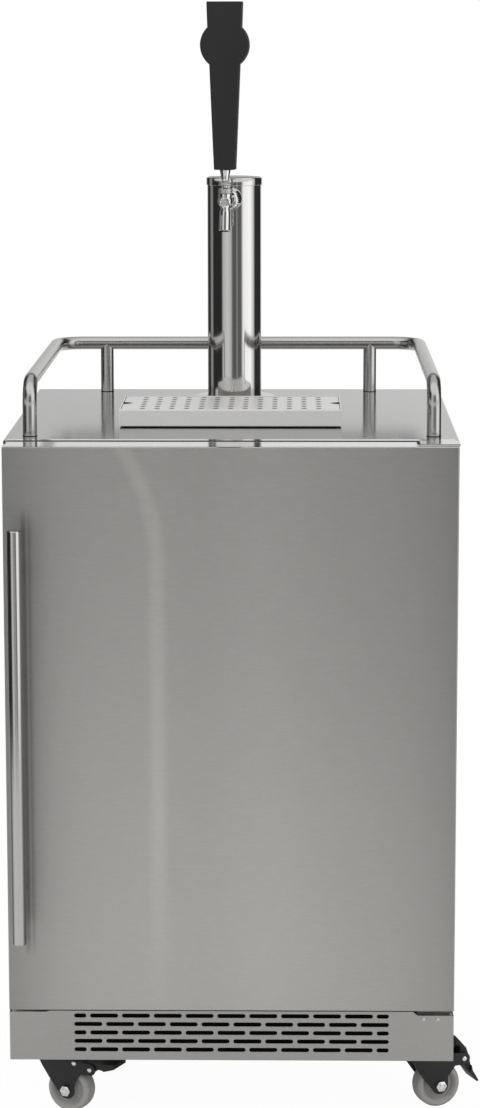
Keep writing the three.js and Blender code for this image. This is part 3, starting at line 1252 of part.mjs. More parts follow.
// One caster about its swivel axis, trailing along +X: fork, axle, wheel and, where braked, the pedal.
function makeCaster(label, x, y, turnDegrees, pedalRaised) {
  const braked = pedalRaised !== null;
  const fork = pivot("swivel_" + label, cabinet, x, y, 0);
  fork.rotation.z = THREE.MathUtils.degToRad(turnDegrees);
  const trail = CASTER_TRAIL;
  const plateInner = WHEEL_WIDTH / 2 + FORK_SIDE_GAP;
  const plateOuter = plateInner + FORK_PLATE;
  const pinX = trail + PEDAL_PIVOT_REACH;
  const pinZ = axleHeight + PEDAL_PIVOT_RISE;
  const arm = PEDAL_ARM_RADIUS;

  const side = new THREE.Shape();
  const [first, ...rest] = forkLeftShares.map(([along, up]) => [along * trail, up * crownTop]);
  side.moveTo(...first);
  rest.forEach((point) => side.lineTo(...point));
  side.absarc(trail, axleHeight, AXLE_BOSS_RADIUS, 1.2 * halfTurn, 2 * halfTurn);
  if (braked) {
    side.lineTo(trail + AXLE_BOSS_RADIUS, axleHeight + AXLE_BOSS_RADIUS);
    side.lineTo(pinX - 1.6 * arm, pinZ - arm);
    side.absarc(pinX, pinZ, arm, -halfTurn / 2, halfTurn / 2);
    side.lineTo(trail + AXLE_BOSS_RADIUS, pinZ + 1.2 * arm);
    side.lineTo(trail * 0.69, crownTop);
  } else {
    plainForkRightShares.forEach(([along, up]) => side.lineTo(along * trail, up * crownTop));
  }
  const crown = outline([
    [-0.69 * trail, -plateOuter],
    [0.69 * trail, -plateOuter],
    [0.69 * trail, plateOuter],
    [-0.69 * trail, plateOuter],
  ]);
  let frame = joined(
    frontal(side, -plateOuter, -plateInner),
    frontal(side, plateInner, plateOuter),
    upright(crown, crownUnderside, crownTop),
    rodZ(CROWN_RADIUS, crownUnderside, crownTop, 10),
  );
  frame = cut(frame, rodY(AXLE_RADIUS + SEAT_GAP, -2 * plateOuter, 2 * plateOuter, 8, trail, axleHeight));
  if (braked) frame = frame.add(rodY(PEDAL_PIN_RADIUS, -plateOuter, plateOuter, 10, pinX, pinZ));
  fork.add(piece("caster_fork_" + label, frame, blackPaint));

  const nutInner = plateOuter + SEAT_GAP;
  const nutOuter = nutInner + AXLE_NUT_THICKNESS;
  const axle = joined(
    rodY(AXLE_RADIUS, -nutOuter, nutOuter, 8, trail, axleHeight),
    rodY(AXLE_NUT_RADIUS, -nutOuter, -nutInner, 6, trail, axleHeight),
    rodY(AXLE_NUT_RADIUS, nutInner, nutOuter, 6, trail, axleHeight),
  );
  fork.add(piece("caster_axle_" + label, axle, zinc));

  // The wheel's flats lie on its true radius, so one of them rests on the floor.
  const wheelGroup = pivot("wheel_" + label, fork, trail, 0, axleHeight);
  const flatsScale = 1 / Math.cos(halfTurn / WHEEL_SIDES);
  const rim = wheelProfileShares.map(([r, w]) => [r * (WHEEL_DIAMETER / 2) * flatsScale, w * WHEEL_WIDTH]);
  const hubHalf = wheelHubShare * WHEEL_WIDTH;
  const rising = rim.map(([r, w]) => new THREE.Vector2(r, -w));
  const falling = rim.map(([r, w]) => new THREE.Vector2(r, w)).reverse();
  const bore = [-hubHalf, hubHalf].map((along) => new THREE.Vector2(WHEEL_BORE_RADIUS, along));
  const wheel = new THREE.LatheGeometry([bore[0], ...rising, ...falling, bore[1], bore[0]], WHEEL_SIDES);
  wheel.rotateY(halfTurn / WHEEL_SIDES);
  wheelGroup.add(piece("caster_wheel_" + label, solid(wheel), greyRubber));

  if (!braked) return;
  const pedalGroup = pivot("pedal_" + label, fork, pinX, 0, pinZ);
  pedalGroup.rotation.y = pedalRaised ? -THREE.MathUtils.degToRad(PEDAL_TRAVEL_DEGREES) : 0;
  const reach = PEDAL_REACH;
  const sized = (shares) => outline(shares.map(([u, v]) => [u * reach, v * reach]));
  const webHalf = plateInner - SEAT_GAP;
  const bladeHalf = PEDAL_BLADE_WIDTH / 2;
  const pedal = cut(
    joined(
      frontal(sized([...pedalEarShares, ...pedalBladeShares, ...pedalTopShares]), -webHalf, webHalf),
      frontal(sized(padShares), -bladeHalf, bladeHalf),
    ),
    rodY(PEDAL_PIN_RADIUS + 1.5 * SEAT_GAP, -plateOuter, plateOuter, 10, 0, 0),
  );
  pedalGroup.add(piece("brake_pedal_" + label, pedal, blackPaint));
}

// Compressor on its foot plate, and the condenser beside it, in the bay behind the keg space.
function makeCompressorBay() {
  const bayMiddle = (bayFront + cabinetRear) / 2;
  const base = panTop + SEAT_GAP;
  const radius = COMPRESSOR_DIAMETER / 2;
  const foot = COMPRESSOR_HEIGHT * 0.05;
  const height = COMPRESSOR_HEIGHT;
  const pot = turned(
    [
      [0, base],
      [radius * 0.7, base],
      [radius, base + height * 0.3],
      [radius, base + height * 0.68],
      [radius * 0.72, base + height * 0.93],
      [radius * 0.3, base + height],
      [0, base + height],
    ],
    VESSEL_SIDES,
    compressorX,
    bayMiddle,
  );
  const footPlate = box(
    compressorX - radius, compressorX + radius, bayMiddle - radius, bayMiddle + radius, base, base + foot,
  );
  const compressor = piece("compressor", joined(pot, footPlate), blackPaint);

  const x0 = CONDENSER_X - CONDENSER_WIDTH / 2;
  const halfDepth = CONDENSER_DEPTH / 2;
  const pitch = CONDENSER_WIDTH / CONDENSER_FINS;
  const finShare = 0.35;
  const spine = CONDENSER_DEPTH * 0.14;
  const comb = [[x0, bayMiddle + halfDepth], [x0, bayMiddle - halfDepth]];
  for (let fin = 0; fin < CONDENSER_FINS; fin += 1) {
    const right = x0 + pitch * (fin + finShare);
    comb.push([right, bayMiddle - halfDepth], [right, bayMiddle + halfDepth - spine]);
    const next = x0 + pitch * (fin + 1);
    if (fin < CONDENSER_FINS - 1) {
      comb.push([next, bayMiddle + halfDepth - spine], [next, bayMiddle - halfDepth]);
    }
  }
  comb.push([x0 + pitch * (CONDENSER_FINS - 1 + finShare), bayMiddle + halfDepth]);
  const fins = upright(outline(comb), base, base + CONDENSER_HEIGHT);
  return [compressor, piece("condenser", fins, darkSteel)];
}

// Evaporator cover on the rear wall with its fan, and the control panel under the ceiling.
function makeCooling() {
  const x0 = evaporatorLeft;
  const x1 = evaporatorRight;
  const back = linerRear - SEAT_GAP;
  const front = back - EVAPORATOR_DEPTH;
  const top = linerCeiling - SEAT_GAP;
  const bottom = top - EVAPORATOR_HEIGHT;
  const shell = EVAPORATOR_SHELL;
  const fanZ = (top + bottom) / 2;
  const fanY = front + shell + FAN_DEPTH;
  const spokeHalf = shell;
  const cover = joined(
    cut(
      box(x0, x1, front, back, bottom, top),
      box(x0 + shell, x1 - shell, front + shell, back + CUT_OVERRUN, bottom + shell, top - shell),
      rodY(FAN_RADIUS + shell, front - CUT_OVERRUN, front + 2 * shell, 18, evaporatorX, fanZ),
    ),
    box(x0 + shell / 2, x1 - shell / 2, front, front + shell, fanZ - spokeHalf, fanZ + spokeHalf),
    box(
      evaporatorX - spokeHalf, evaporatorX + spokeHalf, front, front + shell, bottom + shell / 2,
      top - shell / 2,
    ),
    rodY(FAN_HUB_RADIUS, front, front + shell, 12, evaporatorX, fanZ),
  );
  const motorBack = back - shell;
  const withMotor = cover.add(
    joined(
      rodY(FAN_HUB_RADIUS * 0.9, fanY + shell, motorBack, 12, evaporatorX, fanZ),
      box(x0 + shell / 2, x1 - shell / 2, motorBack - shell, motorBack, fanZ - spokeHalf, fanZ + spokeHalf),
    ),
  );
  cabinet.add(piece("evaporator_cover", withMotor, whitePlastic));

  const fan = pivot("fan", cabinet, evaporatorX, front + shell, fanZ);
  const hubBack = FAN_DEPTH + shell - SEAT_GAP;
  let rotor = rodY(FAN_HUB_RADIUS, SEAT_GAP, hubBack, 12, 0, 0);
  const bladeDepth = FAN_DEPTH * 0.75;
  for (let blade = 0; blade < FAN_BLADES; blade += 1) {
    const vane = new THREE.BoxGeometry(FAN_HUB_RADIUS * 1.1, shell, FAN_RADIUS - FAN_HUB_RADIUS * 0.8);
    vane.translate(0, 0, (FAN_RADIUS + FAN_HUB_RADIUS * 0.8) / 2);
    vane.rotateZ(THREE.MathUtils.degToRad(FAN_PITCH_DEGREES));
    vane.rotateY((2 * halfTurn * blade) / FAN_BLADES).translate(0, bladeDepth * 0.75, 0);
    rotor = rotor.add(solid(vane));
  }
  fan.add(piece("evaporator_fan", rotor, blackPlastic));

  const half = CONTROL_WIDTH / 2;
  const controlFront = cabinetFront + LINER_WALL;
  const control = sideways(
    outline([
      [controlFront, top],
      [controlFront, top - CONTROL_HEIGHT * 0.7],
      [controlFront + CONTROL_DEPTH * 0.25, top - CONTROL_HEIGHT],
      [controlFront + CONTROL_DEPTH, top - CONTROL_HEIGHT],
      [controlFront + CONTROL_DEPTH, top],
    ]),
    -half,
    half,
  );
  cabinet.add(piece("control_panel", control, blackPlastic));
}

// Gas cylinder on the step, its valve and handwheel, the regulator and its knob.
function makeGas() {
  const radius = CYLINDER_DIAMETER / 2;
  const y = linerRear - SEAT_GAP - radius;
  const base = stepTop + SEAT_GAP;
  const top = base + CYLINDER_HEIGHT;
  const wall = CYLINDER_WALL;
  const neck = VALVE_RADIUS * 1.5;
  const shoulder = radius * 0.55;
  const bore = VALVE_RADIUS * 0.7;
  const bottle = turned(
    [
      [0, base],
      [radius * 0.86, base],
      [radius, base + radius * 0.16],
      [radius, top - shoulder],
      [radius * 0.86, top - shoulder * 0.45],
      [radius * 0.55, top - shoulder * 0.12],
      [neck, top],
      [neck, top + neck * 0.6],
      [bore, top + neck * 0.6],
      [bore, top - wall],
      [radius * 0.5, top - wall - shoulder * 0.15],
      [radius * 0.8, top - wall - shoulder * 0.5],
      [radius - wall, top - wall - shoulder],
      [radius - wall, base + wall + radius * 0.16],
      [0, base + wall],
    ],
    VESSEL_SIDES,
    cylinderX,
    y,
  );
  cabinet.add(piece("gas_cylinder", bottle, aluminium));

  const valveBottom = top + neck * 0.6 + SEAT_GAP;
  const valveTop = valveBottom + VALVE_HEIGHT;
  const outletZ = valveBottom + VALVE_HEIGHT * 0.45;
  const regulatorX = cylinderX + radius + 1.6 * HOSE_RADIUS;
  const outlet = regulatorX + REGULATOR_LENGTH / 2;
  const gaugeBack = y - REGULATOR_RADIUS;
  const gaugeOf = (x, z) => rodY(GAUGE_RADIUS, gaugeBack - GAUGE_DEPTH, gaugeBack, VESSEL_SIDES, x, z);
  const body = joined(
    rodZ(VALVE_RADIUS, valveBottom, valveTop, 12, cylinderX, y),
    rodX(VALVE_RADIUS * 0.7, cylinderX, regulatorX, 10, y, outletZ),
    rodY(REGULATOR_RADIUS, y - REGULATOR_RADIUS, y + REGULATOR_RADIUS, 16, regulatorX, outletZ),
    rodY(VALVE_RADIUS * 0.6, y - REGULATOR_RADIUS - GAUGE_DEPTH / 2, y, 10, regulatorX, outletZ),
    rodZ(HOSE_RADIUS * 0.9, outletZ - 2 * REGULATOR_RADIUS, outletZ, 8, regulatorX, y),
    rodX(VALVE_RADIUS * 0.4, regulatorX, outlet + GAUGE_RADIUS * 0.9, 8, y, outletZ),
    rodY(GAUGE_RADIUS * 0.3, y - REGULATOR_RADIUS, y, 8, outlet + GAUGE_RADIUS * 0.6, outletZ),
    gaugeOf(outlet + GAUGE_RADIUS * 0.6, outletZ),
  );
  cabinet.add(piece("regulator", body, brass));

  const wheelGroup = pivot("valve_wheel", cabinet, cylinderX, y, valveTop + SEAT_GAP);
  const lobed = new THREE.Shape();
  const lobes = 6;
  for (let index = 0; index < 2 * lobes; index += 1) {
    const angle = (halfTurn * index) / lobes;
    const reach = VALVE_WHEEL_RADIUS * (index % 2 ? 0.84 : 1);
    if (index === 0) lobed.moveTo(reach * Math.cos(angle), reach * Math.sin(angle));
    else lobed.lineTo(reach * Math.cos(angle), reach * Math.sin(angle));
  }
  wheelGroup.add(piece("gas_valve_wheel", upright(lobed, 0, VALVE_WHEEL_THICKNESS), blackPlastic));

  const knobY = y - REGULATOR_RADIUS - GAUGE_DEPTH / 2 - SEAT_GAP;
  const knobGroup = pivot("regulator_knob", cabinet, regulatorX, knobY, outletZ);
  const knobLength = GAUGE_DEPTH * 0.9;
  const knob = [[0, 0], [GAUGE_RADIUS * 0.55, 0], [GAUGE_RADIUS * 0.5, knobLength], [0, knobLength]];
  knobGroup.add(piece("regulator_knob", turnedForward(knob, 10), blackPlastic));
  return { hoseX: regulatorX, hoseY: y, hoseZ: outletZ - 2 * REGULATOR_RADIUS - SEAT_GAP };
}

// Keg coupler parked on the step, with its lever handle, the gas hose and the beer line.
function makeCoupler(gas) {
  const base = stepTop + SEAT_GAP;
  const y = linerRear - STEP_DEPTH / 2;
  const shoulder = base + COUPLER_BASE_HEIGHT;
  const top = base + COUPLER_HEIGHT;
  const inletZ = base + COUPLER_HEIGHT * 0.5;
  const pinZ = base + COUPLER_HEIGHT * 0.74;
  const inletX = couplerX - COUPLER_RADIUS * 1.8;
  const pinReach = COUPLER_RADIUS * 1.5;
  const body = joined(
    turned(
      [
        [0, base],
        [COUPLER_BASE_RADIUS, base],
        [COUPLER_BASE_RADIUS, shoulder],
        [COUPLER_RADIUS, shoulder + COUPLER_BASE_HEIGHT * 0.4],
        [COUPLER_RADIUS, top - COUPLER_HEIGHT * 0.16],
        [HOSE_RADIUS * 1.6, top - COUPLER_HEIGHT * 0.1],
        [HOSE_RADIUS * 1.6, top],
        [0, top],
      ],
      VESSEL_SIDES,
      couplerX,
      y,
    ),
    rodX(HOSE_RADIUS * 0.9, inletX, couplerX, 8, y, inletZ),
    rodY(HOSE_RADIUS * 0.8, y - pinReach, y, 10, couplerX, pinZ),
  );
  cabinet.add(piece("keg_coupler", body, chrome));

  const handleGroup = pivot("coupler_handle", cabinet, couplerX, y - pinReach, pinZ);
  const grip = COUPLER_RADIUS * 0.42;
  const inner = -(pinReach - COUPLER_RADIUS) * 0.1;
  const arm = joined(
    box(-grip, grip, -grip, inner + grip * 0.2, -grip, COUPLER_HANDLE_LENGTH),
    rodX(grip, -COUPLER_RADIUS, COUPLER_RADIUS, 10, -grip * 0.45, COUPLER_HANDLE_LENGTH),
  );
  const eye = rodY(HOSE_RADIUS * 0.8 + 1.5 * SEAT_GAP, -2 * grip, pinReach, 10, 0, 0);
  handleGroup.add(piece("coupler_handle", cut(arm, eye), blackPlastic));

  // Gas hose: down beside the cylinder, along the step, and up into the coupler's side.
  const stepZ = stepTop + 2 * HOSE_RADIUS;
  const bend = 6 * HOSE_RADIUS;
  const gasCorners = [
    [gas.hoseX, gas.hoseY, gas.hoseZ],
    [gas.hoseX, gas.hoseY, stepZ],
    [inletX - 2 * bend, y, stepZ],
    [inletX - bend, y, inletZ],
    [inletX - SEAT_GAP, y, inletZ],
  ];
  cabinet.add(piece("gas_hose", bentTube(gasCorners, HOSE_RADIUS, bend / 3, HOSE_SIDES, 3), redPlastic));

  // Beer line: from the coupler up the liner's rear corner, along the ceiling, and up the tower to the shank.
  const cornerX = linerHalf - 2 * LINE_RADIUS;
  const lineWallY = linerRear - 2 * LINE_RADIUS;
  const ceilingZ = linerCeiling - 2 * LINE_RADIUS;
  const turn = THREE.MathUtils.degToRad(TOWER_TURN_DEGREES);
  const ahead = (distance) => [
    TOWER_X + distance * Math.sin(turn), towerY - distance * Math.cos(turn), faucetZ,
  ];
  const [riserX, riserY] = ahead(-LINE_HOLE_RADIUS * 0.25);
  const lineCorners = [
    [couplerX, y, top + SEAT_GAP],
    [couplerX, y, top + 2 * bend],
    [cornerX, lineWallY, top + 5 * bend],
    [cornerX, lineWallY, ceilingZ],
    [cornerX - bend, lineWallY - 3 * bend, ceilingZ],
    [riserX, riserY, ceilingZ],
    [riserX, riserY, faucetZ],
    ahead(shankTailEnd - SEAT_GAP),
  ];
  const line = bentTube(lineCorners, LINE_RADIUS, LINE_RADIUS * 1.2, HOSE_SIDES, 3);
  cabinet.add(piece("beer_line", line, clearHose));
}

cabinet.add(makeWorktop());
cabinet.add(makeSidePanel("side_panel_left", -1));
cabinet.add(makeSidePanel("side_panel_right", 1));
cabinet.add(makeRearPanel());
cabinet.add(makeBasePan());
cabinet.add(makeInsulation());
cabinet.add(makeLiner());
cabinet.add(makeKickPanel());
cabinet.add(makeGuardRail());
cabinet.add(...makeTower());
cabinet.add(...makeHinges());
cabinet.add(...makeCompressorBay());
makeFaucet();
makeDoor();
makeDripTray();
makeCooling();
makeCoupler(makeGas());
makeCaster("front_left", -casterX, casterFrontY, FRONT_LEFT_TURN_DEGREES, true);
makeCaster("front_right", casterX, casterFrontY, FRONT_RIGHT_TURN_DEGREES, false);
makeCaster("rear_left", -casterX, casterRearY, REAR_LEFT_TURN_DEGREES, null);
makeCaster("rear_right", casterX, casterRearY, REAR_RIGHT_TURN_DEGREES, null);

// The finished object stands on the floor, centred over its footprint.
kegerator.updateMatrixWorld(true);
const bounds = new THREE.Box3().setFromObject(kegerator, true);
const centre = bounds.getCenter(new THREE.Vector3());
cabinet.position.set(-centre.x, -centre.y, -bounds.min.z);

export default kegerator;
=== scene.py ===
"""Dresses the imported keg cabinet: finer steel, rail, tower, faucet, tray, kick panel and casters.

Sizes are millimetres in the cabinet's own frame, where x = 0 is the cabinet's middle, y = 0 the
door's front face and z = 0 the floor. Each finished mesh is placed in the row frame, in metres.
"""

import logging
import math
from dataclasses import dataclass, field, replace
from enum import Enum
from typing import ClassVar, Optional, Sequence

import bmesh
import bpy
from mathutils import Matrix, Vector


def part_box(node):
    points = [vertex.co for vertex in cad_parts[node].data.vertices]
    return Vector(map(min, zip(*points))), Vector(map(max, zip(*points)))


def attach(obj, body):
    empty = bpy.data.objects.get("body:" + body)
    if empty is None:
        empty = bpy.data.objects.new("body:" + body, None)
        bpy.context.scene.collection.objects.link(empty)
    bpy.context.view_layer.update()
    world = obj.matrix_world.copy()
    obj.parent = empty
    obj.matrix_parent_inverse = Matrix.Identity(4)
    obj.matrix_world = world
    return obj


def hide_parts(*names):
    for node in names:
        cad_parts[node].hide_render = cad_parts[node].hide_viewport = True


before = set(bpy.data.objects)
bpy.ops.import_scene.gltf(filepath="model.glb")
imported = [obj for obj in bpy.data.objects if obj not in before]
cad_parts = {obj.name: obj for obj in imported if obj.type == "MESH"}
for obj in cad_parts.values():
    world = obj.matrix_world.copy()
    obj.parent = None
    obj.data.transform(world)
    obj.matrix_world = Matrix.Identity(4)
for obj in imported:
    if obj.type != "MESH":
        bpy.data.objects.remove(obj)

LOG = logging.getLogger("keg_cabinet")
MM = 0.001
SEAT_GAP = 0.3
FOLD_EDGE = 0.3
KNURL_CREASE = 24.0
PLAIN_CREASE = 32.0
SHEET_CREASE = 40.0
WHEEL_CREASE = 50.0
BEVEL_CREASE = 50.0
TONE_LIMIT = 2.0

Pair = tuple[float, float]
Triple = tuple[float, float, float]
Faces = tuple[tuple[int, float, float], ...]
Socket = bpy.types.NodeSocket


class Grain(Enum):
    """How a brushed grain runs: the stretch of the noise along x, y and z."""

    ACROSS = (70.0, 620.0, 620.0)
    UPRIGHT = (620.0, 620.0, 70.0)


class Turn(Enum):
    """Where a shape drawn about +Z points once it is turned."""

    UP = Matrix.Identity(4)
    FORWARD = Matrix.Rotation(math.pi / 2, 4, "X")
    BACKWARD = Matrix.Rotation(math.pi, 4, "Z") @ Matrix.Rotation(math.pi / 2, 4, "X")
    SIDEWAYS = Matrix(((0, 0, 1, 0), (1, 0, 0, 0), (0, 1, 0, 0), (0, 0, 0, 1)))


class Patch(Enum):
    """A part of the surroundings that metal mirrors: its level of light, and its faces by direction."""

    REAR_SHADE = (0.04, ((2, 0.42, 0.5), (2, 0.66, 0.58), (1, 0.1, 0.3)))
    ZENITH = (0.75, ((2, 0.68, 0.78),))
    CEILING = (1.15, ((2, 0.6, 0.72), (1, 0.12, 0.0)))
    FRONT_GLOW = (0.9, ((2, 0.05, 0.09), (2, 0.3, 0.2), (1, 0.1, -0.1)))
    GROUND = (0.46, ((2, -0.125, -0.17), (1, -0.9, -0.95)))


class NodeBench:
    """Adds and joins the shader nodes of one material or world."""

    def __init__(self, tree: bpy.types.NodeTree) -> None:
        """Clears the tree.

        Args:
            tree: The node tree to fill.
        """
        self.tree = tree
        tree.nodes.clear()

    def add(self, kind: str, settings: Optional[dict] = None, **inputs: object) -> bpy.types.Node:
        """Adds a node.

        Args:
            kind: The node's type name without its ShaderNode prefix.
            settings: Attributes set on the node itself.
            inputs: Values or sockets, by the input's name with underscores, or by i and its number.

        Returns:
            The new node.
        """
        node = self.tree.nodes.new("ShaderNode" + kind)
        for key, value in (settings or {}).items():
            setattr(node, key, value)
        for key, value in inputs.items():
            self.feed(node.inputs[int(key[1:]) if key[1:].isdigit() else key.replace("_", " ")], value)
        return node

    def feed(self, socket: Socket, value: object) -> None:
        """Links a source to a socket, or sets the socket's own value."""
        if isinstance(value, Socket):
            self.tree.links.new(value, socket)
        else:
            socket.default_value = value

    def sums(self, operation: str, first: object, second: object = 0.0) -> Socket:
        """Adds a Math node and returns its output."""
        return self.add("Math", {"operation": operation}, i0=first, i1=second).outputs[0]

    def product(self, first: Socket, *others: object) -> Socket:
        """Multiplies numbers and returns their product."""
        for other in others:
            first = self.sums("MULTIPLY", first, other)
        return first

    def noise(self, vector: Socket, scale: float, detail: float = 2.0) -> Socket:
        """Adds a noise and returns its factor."""
        return self.add("TexNoise", Vector=vector, Scale=scale, Detail=detail).outputs[0]

    def axes(self, source: str = "Object") -> Sequence[Socket]:
        """Adds a texture coordinate and returns its x, y and z."""
        return self.add("SeparateXYZ", Vector=self.add("TexCoord").outputs[source]).outputs

    def place(self, stretch: Triple = (1.0, 1.0, 1.0)) -> Socket:
        """Adds Object coordinates through a Mapping node with a scale."""
        return self.add("Mapping", Vector=self.add("TexCoord").outputs["Object"], Scale=stretch).outputs[0]

    def between(self, factor: Socket, low: float, high: float) -> Socket:
        """Maps 0 to 1 on to low to high."""
        return self.add("MapRange", i0=factor, i3=low, i4=high).outputs[0]

    def varied(self, factor: Socket, middle: float, swing: float) -> Socket:
        """Maps 0 to 1 on to a value that swings about its middle."""
        return self.between(factor, middle - swing, middle + swing)

    def share(self, value: Socket, start: float, full: float, curve: str = "LINEAR") -> Socket:
        """Ramps from 0 to 1 while a value goes from start to full, which may lie either way.

        Args:
            value: What is read.
            start: Where the ramp leaves 0.
            full: Where it reaches 1.
            curve: Its interpolation.

        Returns:
            The ramp's number.
        """
        settings = {"interpolation_type": curve}
        return self.add("MapRange", settings, i0=value, i1=start, i2=full).outputs[0]

    def inside(self, axes: Sequence[Socket], faces: Faces, curve: str = "LINEAR") -> Socket:
        """Tells how far inside a set of faces a place lies.

        Args:
            axes: The place's x, y and z.
            faces: The axis, the start and the full place of each face.
            curve: How each face ramps.

        Returns:
            1 well inside and 0 outside.
        """
        return self.product(*(self.share(axes[axis], start, full, curve) for axis, start, full in faces))

    def mixed(self, factor: Socket, first: object, second: object) -> Socket:
        """Mixes two numbers, where a factor of 0 gives the first."""
        return self.add("Mix", {"data_type": "FLOAT"}, i0=factor, i2=first, i3=second).outputs[0]

    def tones(self, value: Socket, points: Sequence[Pair], curve: str = "LINEAR") -> Socket:
        """Reads a tone off a row of points.

        Args:
            value: What is read.
            points: Places of that value and the tone at each, up to TONE_LIMIT.
            curve: How a colour ramp blends between them.

        Returns:
            The tone.
        """
        low, high = points[0][0], points[-1][0]
        node = self.add("ValToRGB", i0=self.share(value, low, high))
        node.color_ramp.interpolation = curve
        elements = node.color_ramp.elements
        while len(elements) > 1:
            elements.remove(elements[-1])
        for index, (place, tone) in enumerate(points):
            stop = elements.new((place - low) / (high - low)) if index else elements[0]
            stop.color = (*[tone / TONE_LIMIT] * 3, 1.0)
            if not index:
                stop.position = 0.0
        return self.product(node.outputs[0], TONE_LIMIT)

    def tint(self, colour: object, factor: Socket) -> Socket:
        """Multiplies a colour by a grey value."""
        return self.add("VectorMath", {"operation": "SCALE"}, i0=colour, Scale=factor).outputs[0]

    def mirrored(self, path: Sequence[Socket]) -> Socket:
        """Tells from a Light Path's outputs whether a ray comes off metal or through plastic."""
        return self.sums("MAXIMUM", path["Is Glossy Ray"], path["Is Transmission Ray"])


@dataclass(frozen=True)
class Zone:
    """A part of a piece painted lighter or darker than the rest: a painted highlight or painted shade.

    Attributes:
        gain: By how much the colour is multiplied there.
        faces: The axis of each face, and in metres where the zone starts and where it is full.
        rough: The roughness there, where it differs.
    """

    gain: float
    faces: Faces
    rough: Optional[float] = None

    def applied(self, bench: NodeBench, colour: Socket, rough: Socket) -> tuple[Socket, Socket]:
        """Paints the zone's highlight or shade into the colour, and changes the roughness inside it.

        Args:
            bench: Where the nodes go.
            colour: The colour's socket.
            rough: The roughness's socket.

        Returns:
            The zoned colour and roughness.
        """
        inside = bench.inside(bench.axes(), self.faces)
        if self.rough is not None:
            rough = bench.mixed(inside, rough, self.rough)
        return bench.tint(colour, bench.mixed(inside, 1.0, self.gain)), rough


@dataclass(frozen=True)
class Finish:
    """A finish: its name, the record's slot, its colour and gloss.

    Attributes:
        name: The material's name.
        slot: The record's material slot; not used.
        colour: Linear colour.
        roughness: Middle roughness.
        metallic: 1 for bare metal.
        mottle: Share by which the colour varies.
        mottle_scale: Scale of that variation per metre.
        rough_swing: How far the roughness varies.
        relief: Bump strength.
        relief_scale: Scale of the bump per metre.
        relief_depth: Depth of the bump in metres.
        zones: Parts with a painted highlight or painted shade.
    """

    name: str
    slot: str
    colour: Triple
    roughness: float
    metallic: float = 0.0
    mottle: float = 0.08
    mottle_scale: float = 60.0
    rough_swing: float = 0.08
    relief: float = 0.1
    relief_scale: float = 900.0
    relief_depth: float = 0.0002
    zones: tuple[Zone, ...] = ()

    def pattern(self, bench: NodeBench) -> tuple[Socket, Socket, Socket]:
        """Works out how the surface varies.

        Args:
            bench: Where the nodes go.

        Returns:
            The tone that multiplies the colour, the wear that varies the gloss, and the bump's height.
        """
        place = bench.place()
        cloud = bench.noise(place, self.mottle_scale, 3.0)
        return bench.varied(cloud, 1.0, self.mottle), cloud, bench.noise(place, self.relief_scale)

    def extra(self, shader: bpy.types.Node) -> None:
        """Sets what only some finishes have, on the shader's own sockets."""

    def material(self) -> bpy.types.Material:
        """Builds the Blender material."""
        made = bpy.data.materials.new(self.name)
        made.use_nodes = True
        bench = NodeBench(made.node_tree)
        tone, wear, height = self.pattern(bench)
        colour = bench.tint(self.colour, tone)
        rough = bench.varied(wear, self.roughness, self.rough_swing)
        bump = bench.add("Bump", Strength=self.relief, Distance=self.relief_depth, Height=height)
        for zone in self.zones:
            colour, rough = zone.applied(bench, colour, rough)
        shader = bench.add("BsdfPrincipled", Metallic=self.metallic, Base_Color=colour, Roughness=rough,
                           Normal=bump.outputs[0])
        self.extra(shader)
        bench.add("OutputMaterial", Surface=shader.outputs[0])
        made.diffuse_color = (*self.colour, 1.0)
        return made


@dataclass(frozen=True)
class MetalFinish(Finish):
    """Smooth bare metal."""

    metallic: float = 1.0
    mottle: float = 0.03
    rough_swing: float = 0.02
    relief: float = 0.02


@dataclass(frozen=True)
class BrushedFinish(Finish):
    """Steel with a grain and, where bands are given, soft upright light bands painted into its colour as
    painted reflections.

    Attributes:
        grain: The grain's direction.
        grain_depth: Share by which the grain changes the colour.
        painted_light_bands: Places along x in metres and the painted light or painted shade tone there, or
            none.
    """

    metallic: float = 1.0
    mottle: float = 0.03
    mottle_scale: float = 3.0
    rough_swing: float = 0.05
    relief: float = 0.12
    relief_depth: float = 0.00005
    grain: Grain = Grain.ACROSS
    grain_depth: float = 0.05
    painted_light_bands: tuple[Pair, ...] = ()

    FINER: ClassVar[float] = 2.7

    def pattern(self, bench: NodeBench) -> tuple[Socket, Socket, Socket]:
        """Works out the grained tone, wear and height, as Finish.pattern does."""
        lines = bench.noise(bench.place(self.grain.value), 1.0, 3.0)
        fine = bench.noise(bench.place(tuple(self.FINER * s for s in self.grain.value)), 1.0)
        cloud = bench.noise(bench.place(), self.mottle_scale, 3.0)
        low, high = 1.0 - 2 * self.grain_depth, 1.0 + 3 * self.grain_depth
        grained = bench.between(bench.product(lines, fine), low, high)
        tone = bench.product(grained, bench.varied(cloud, 1.0, self.mottle))
        # Painted reflection: upright lighter and darker bands multiplied into the colour along x.
        if self.painted_light_bands:
            tone = bench.product(tone, bench.tones(bench.axes()[0], self.painted_light_bands, "B_SPLINE"))
        return tone, lines, fine


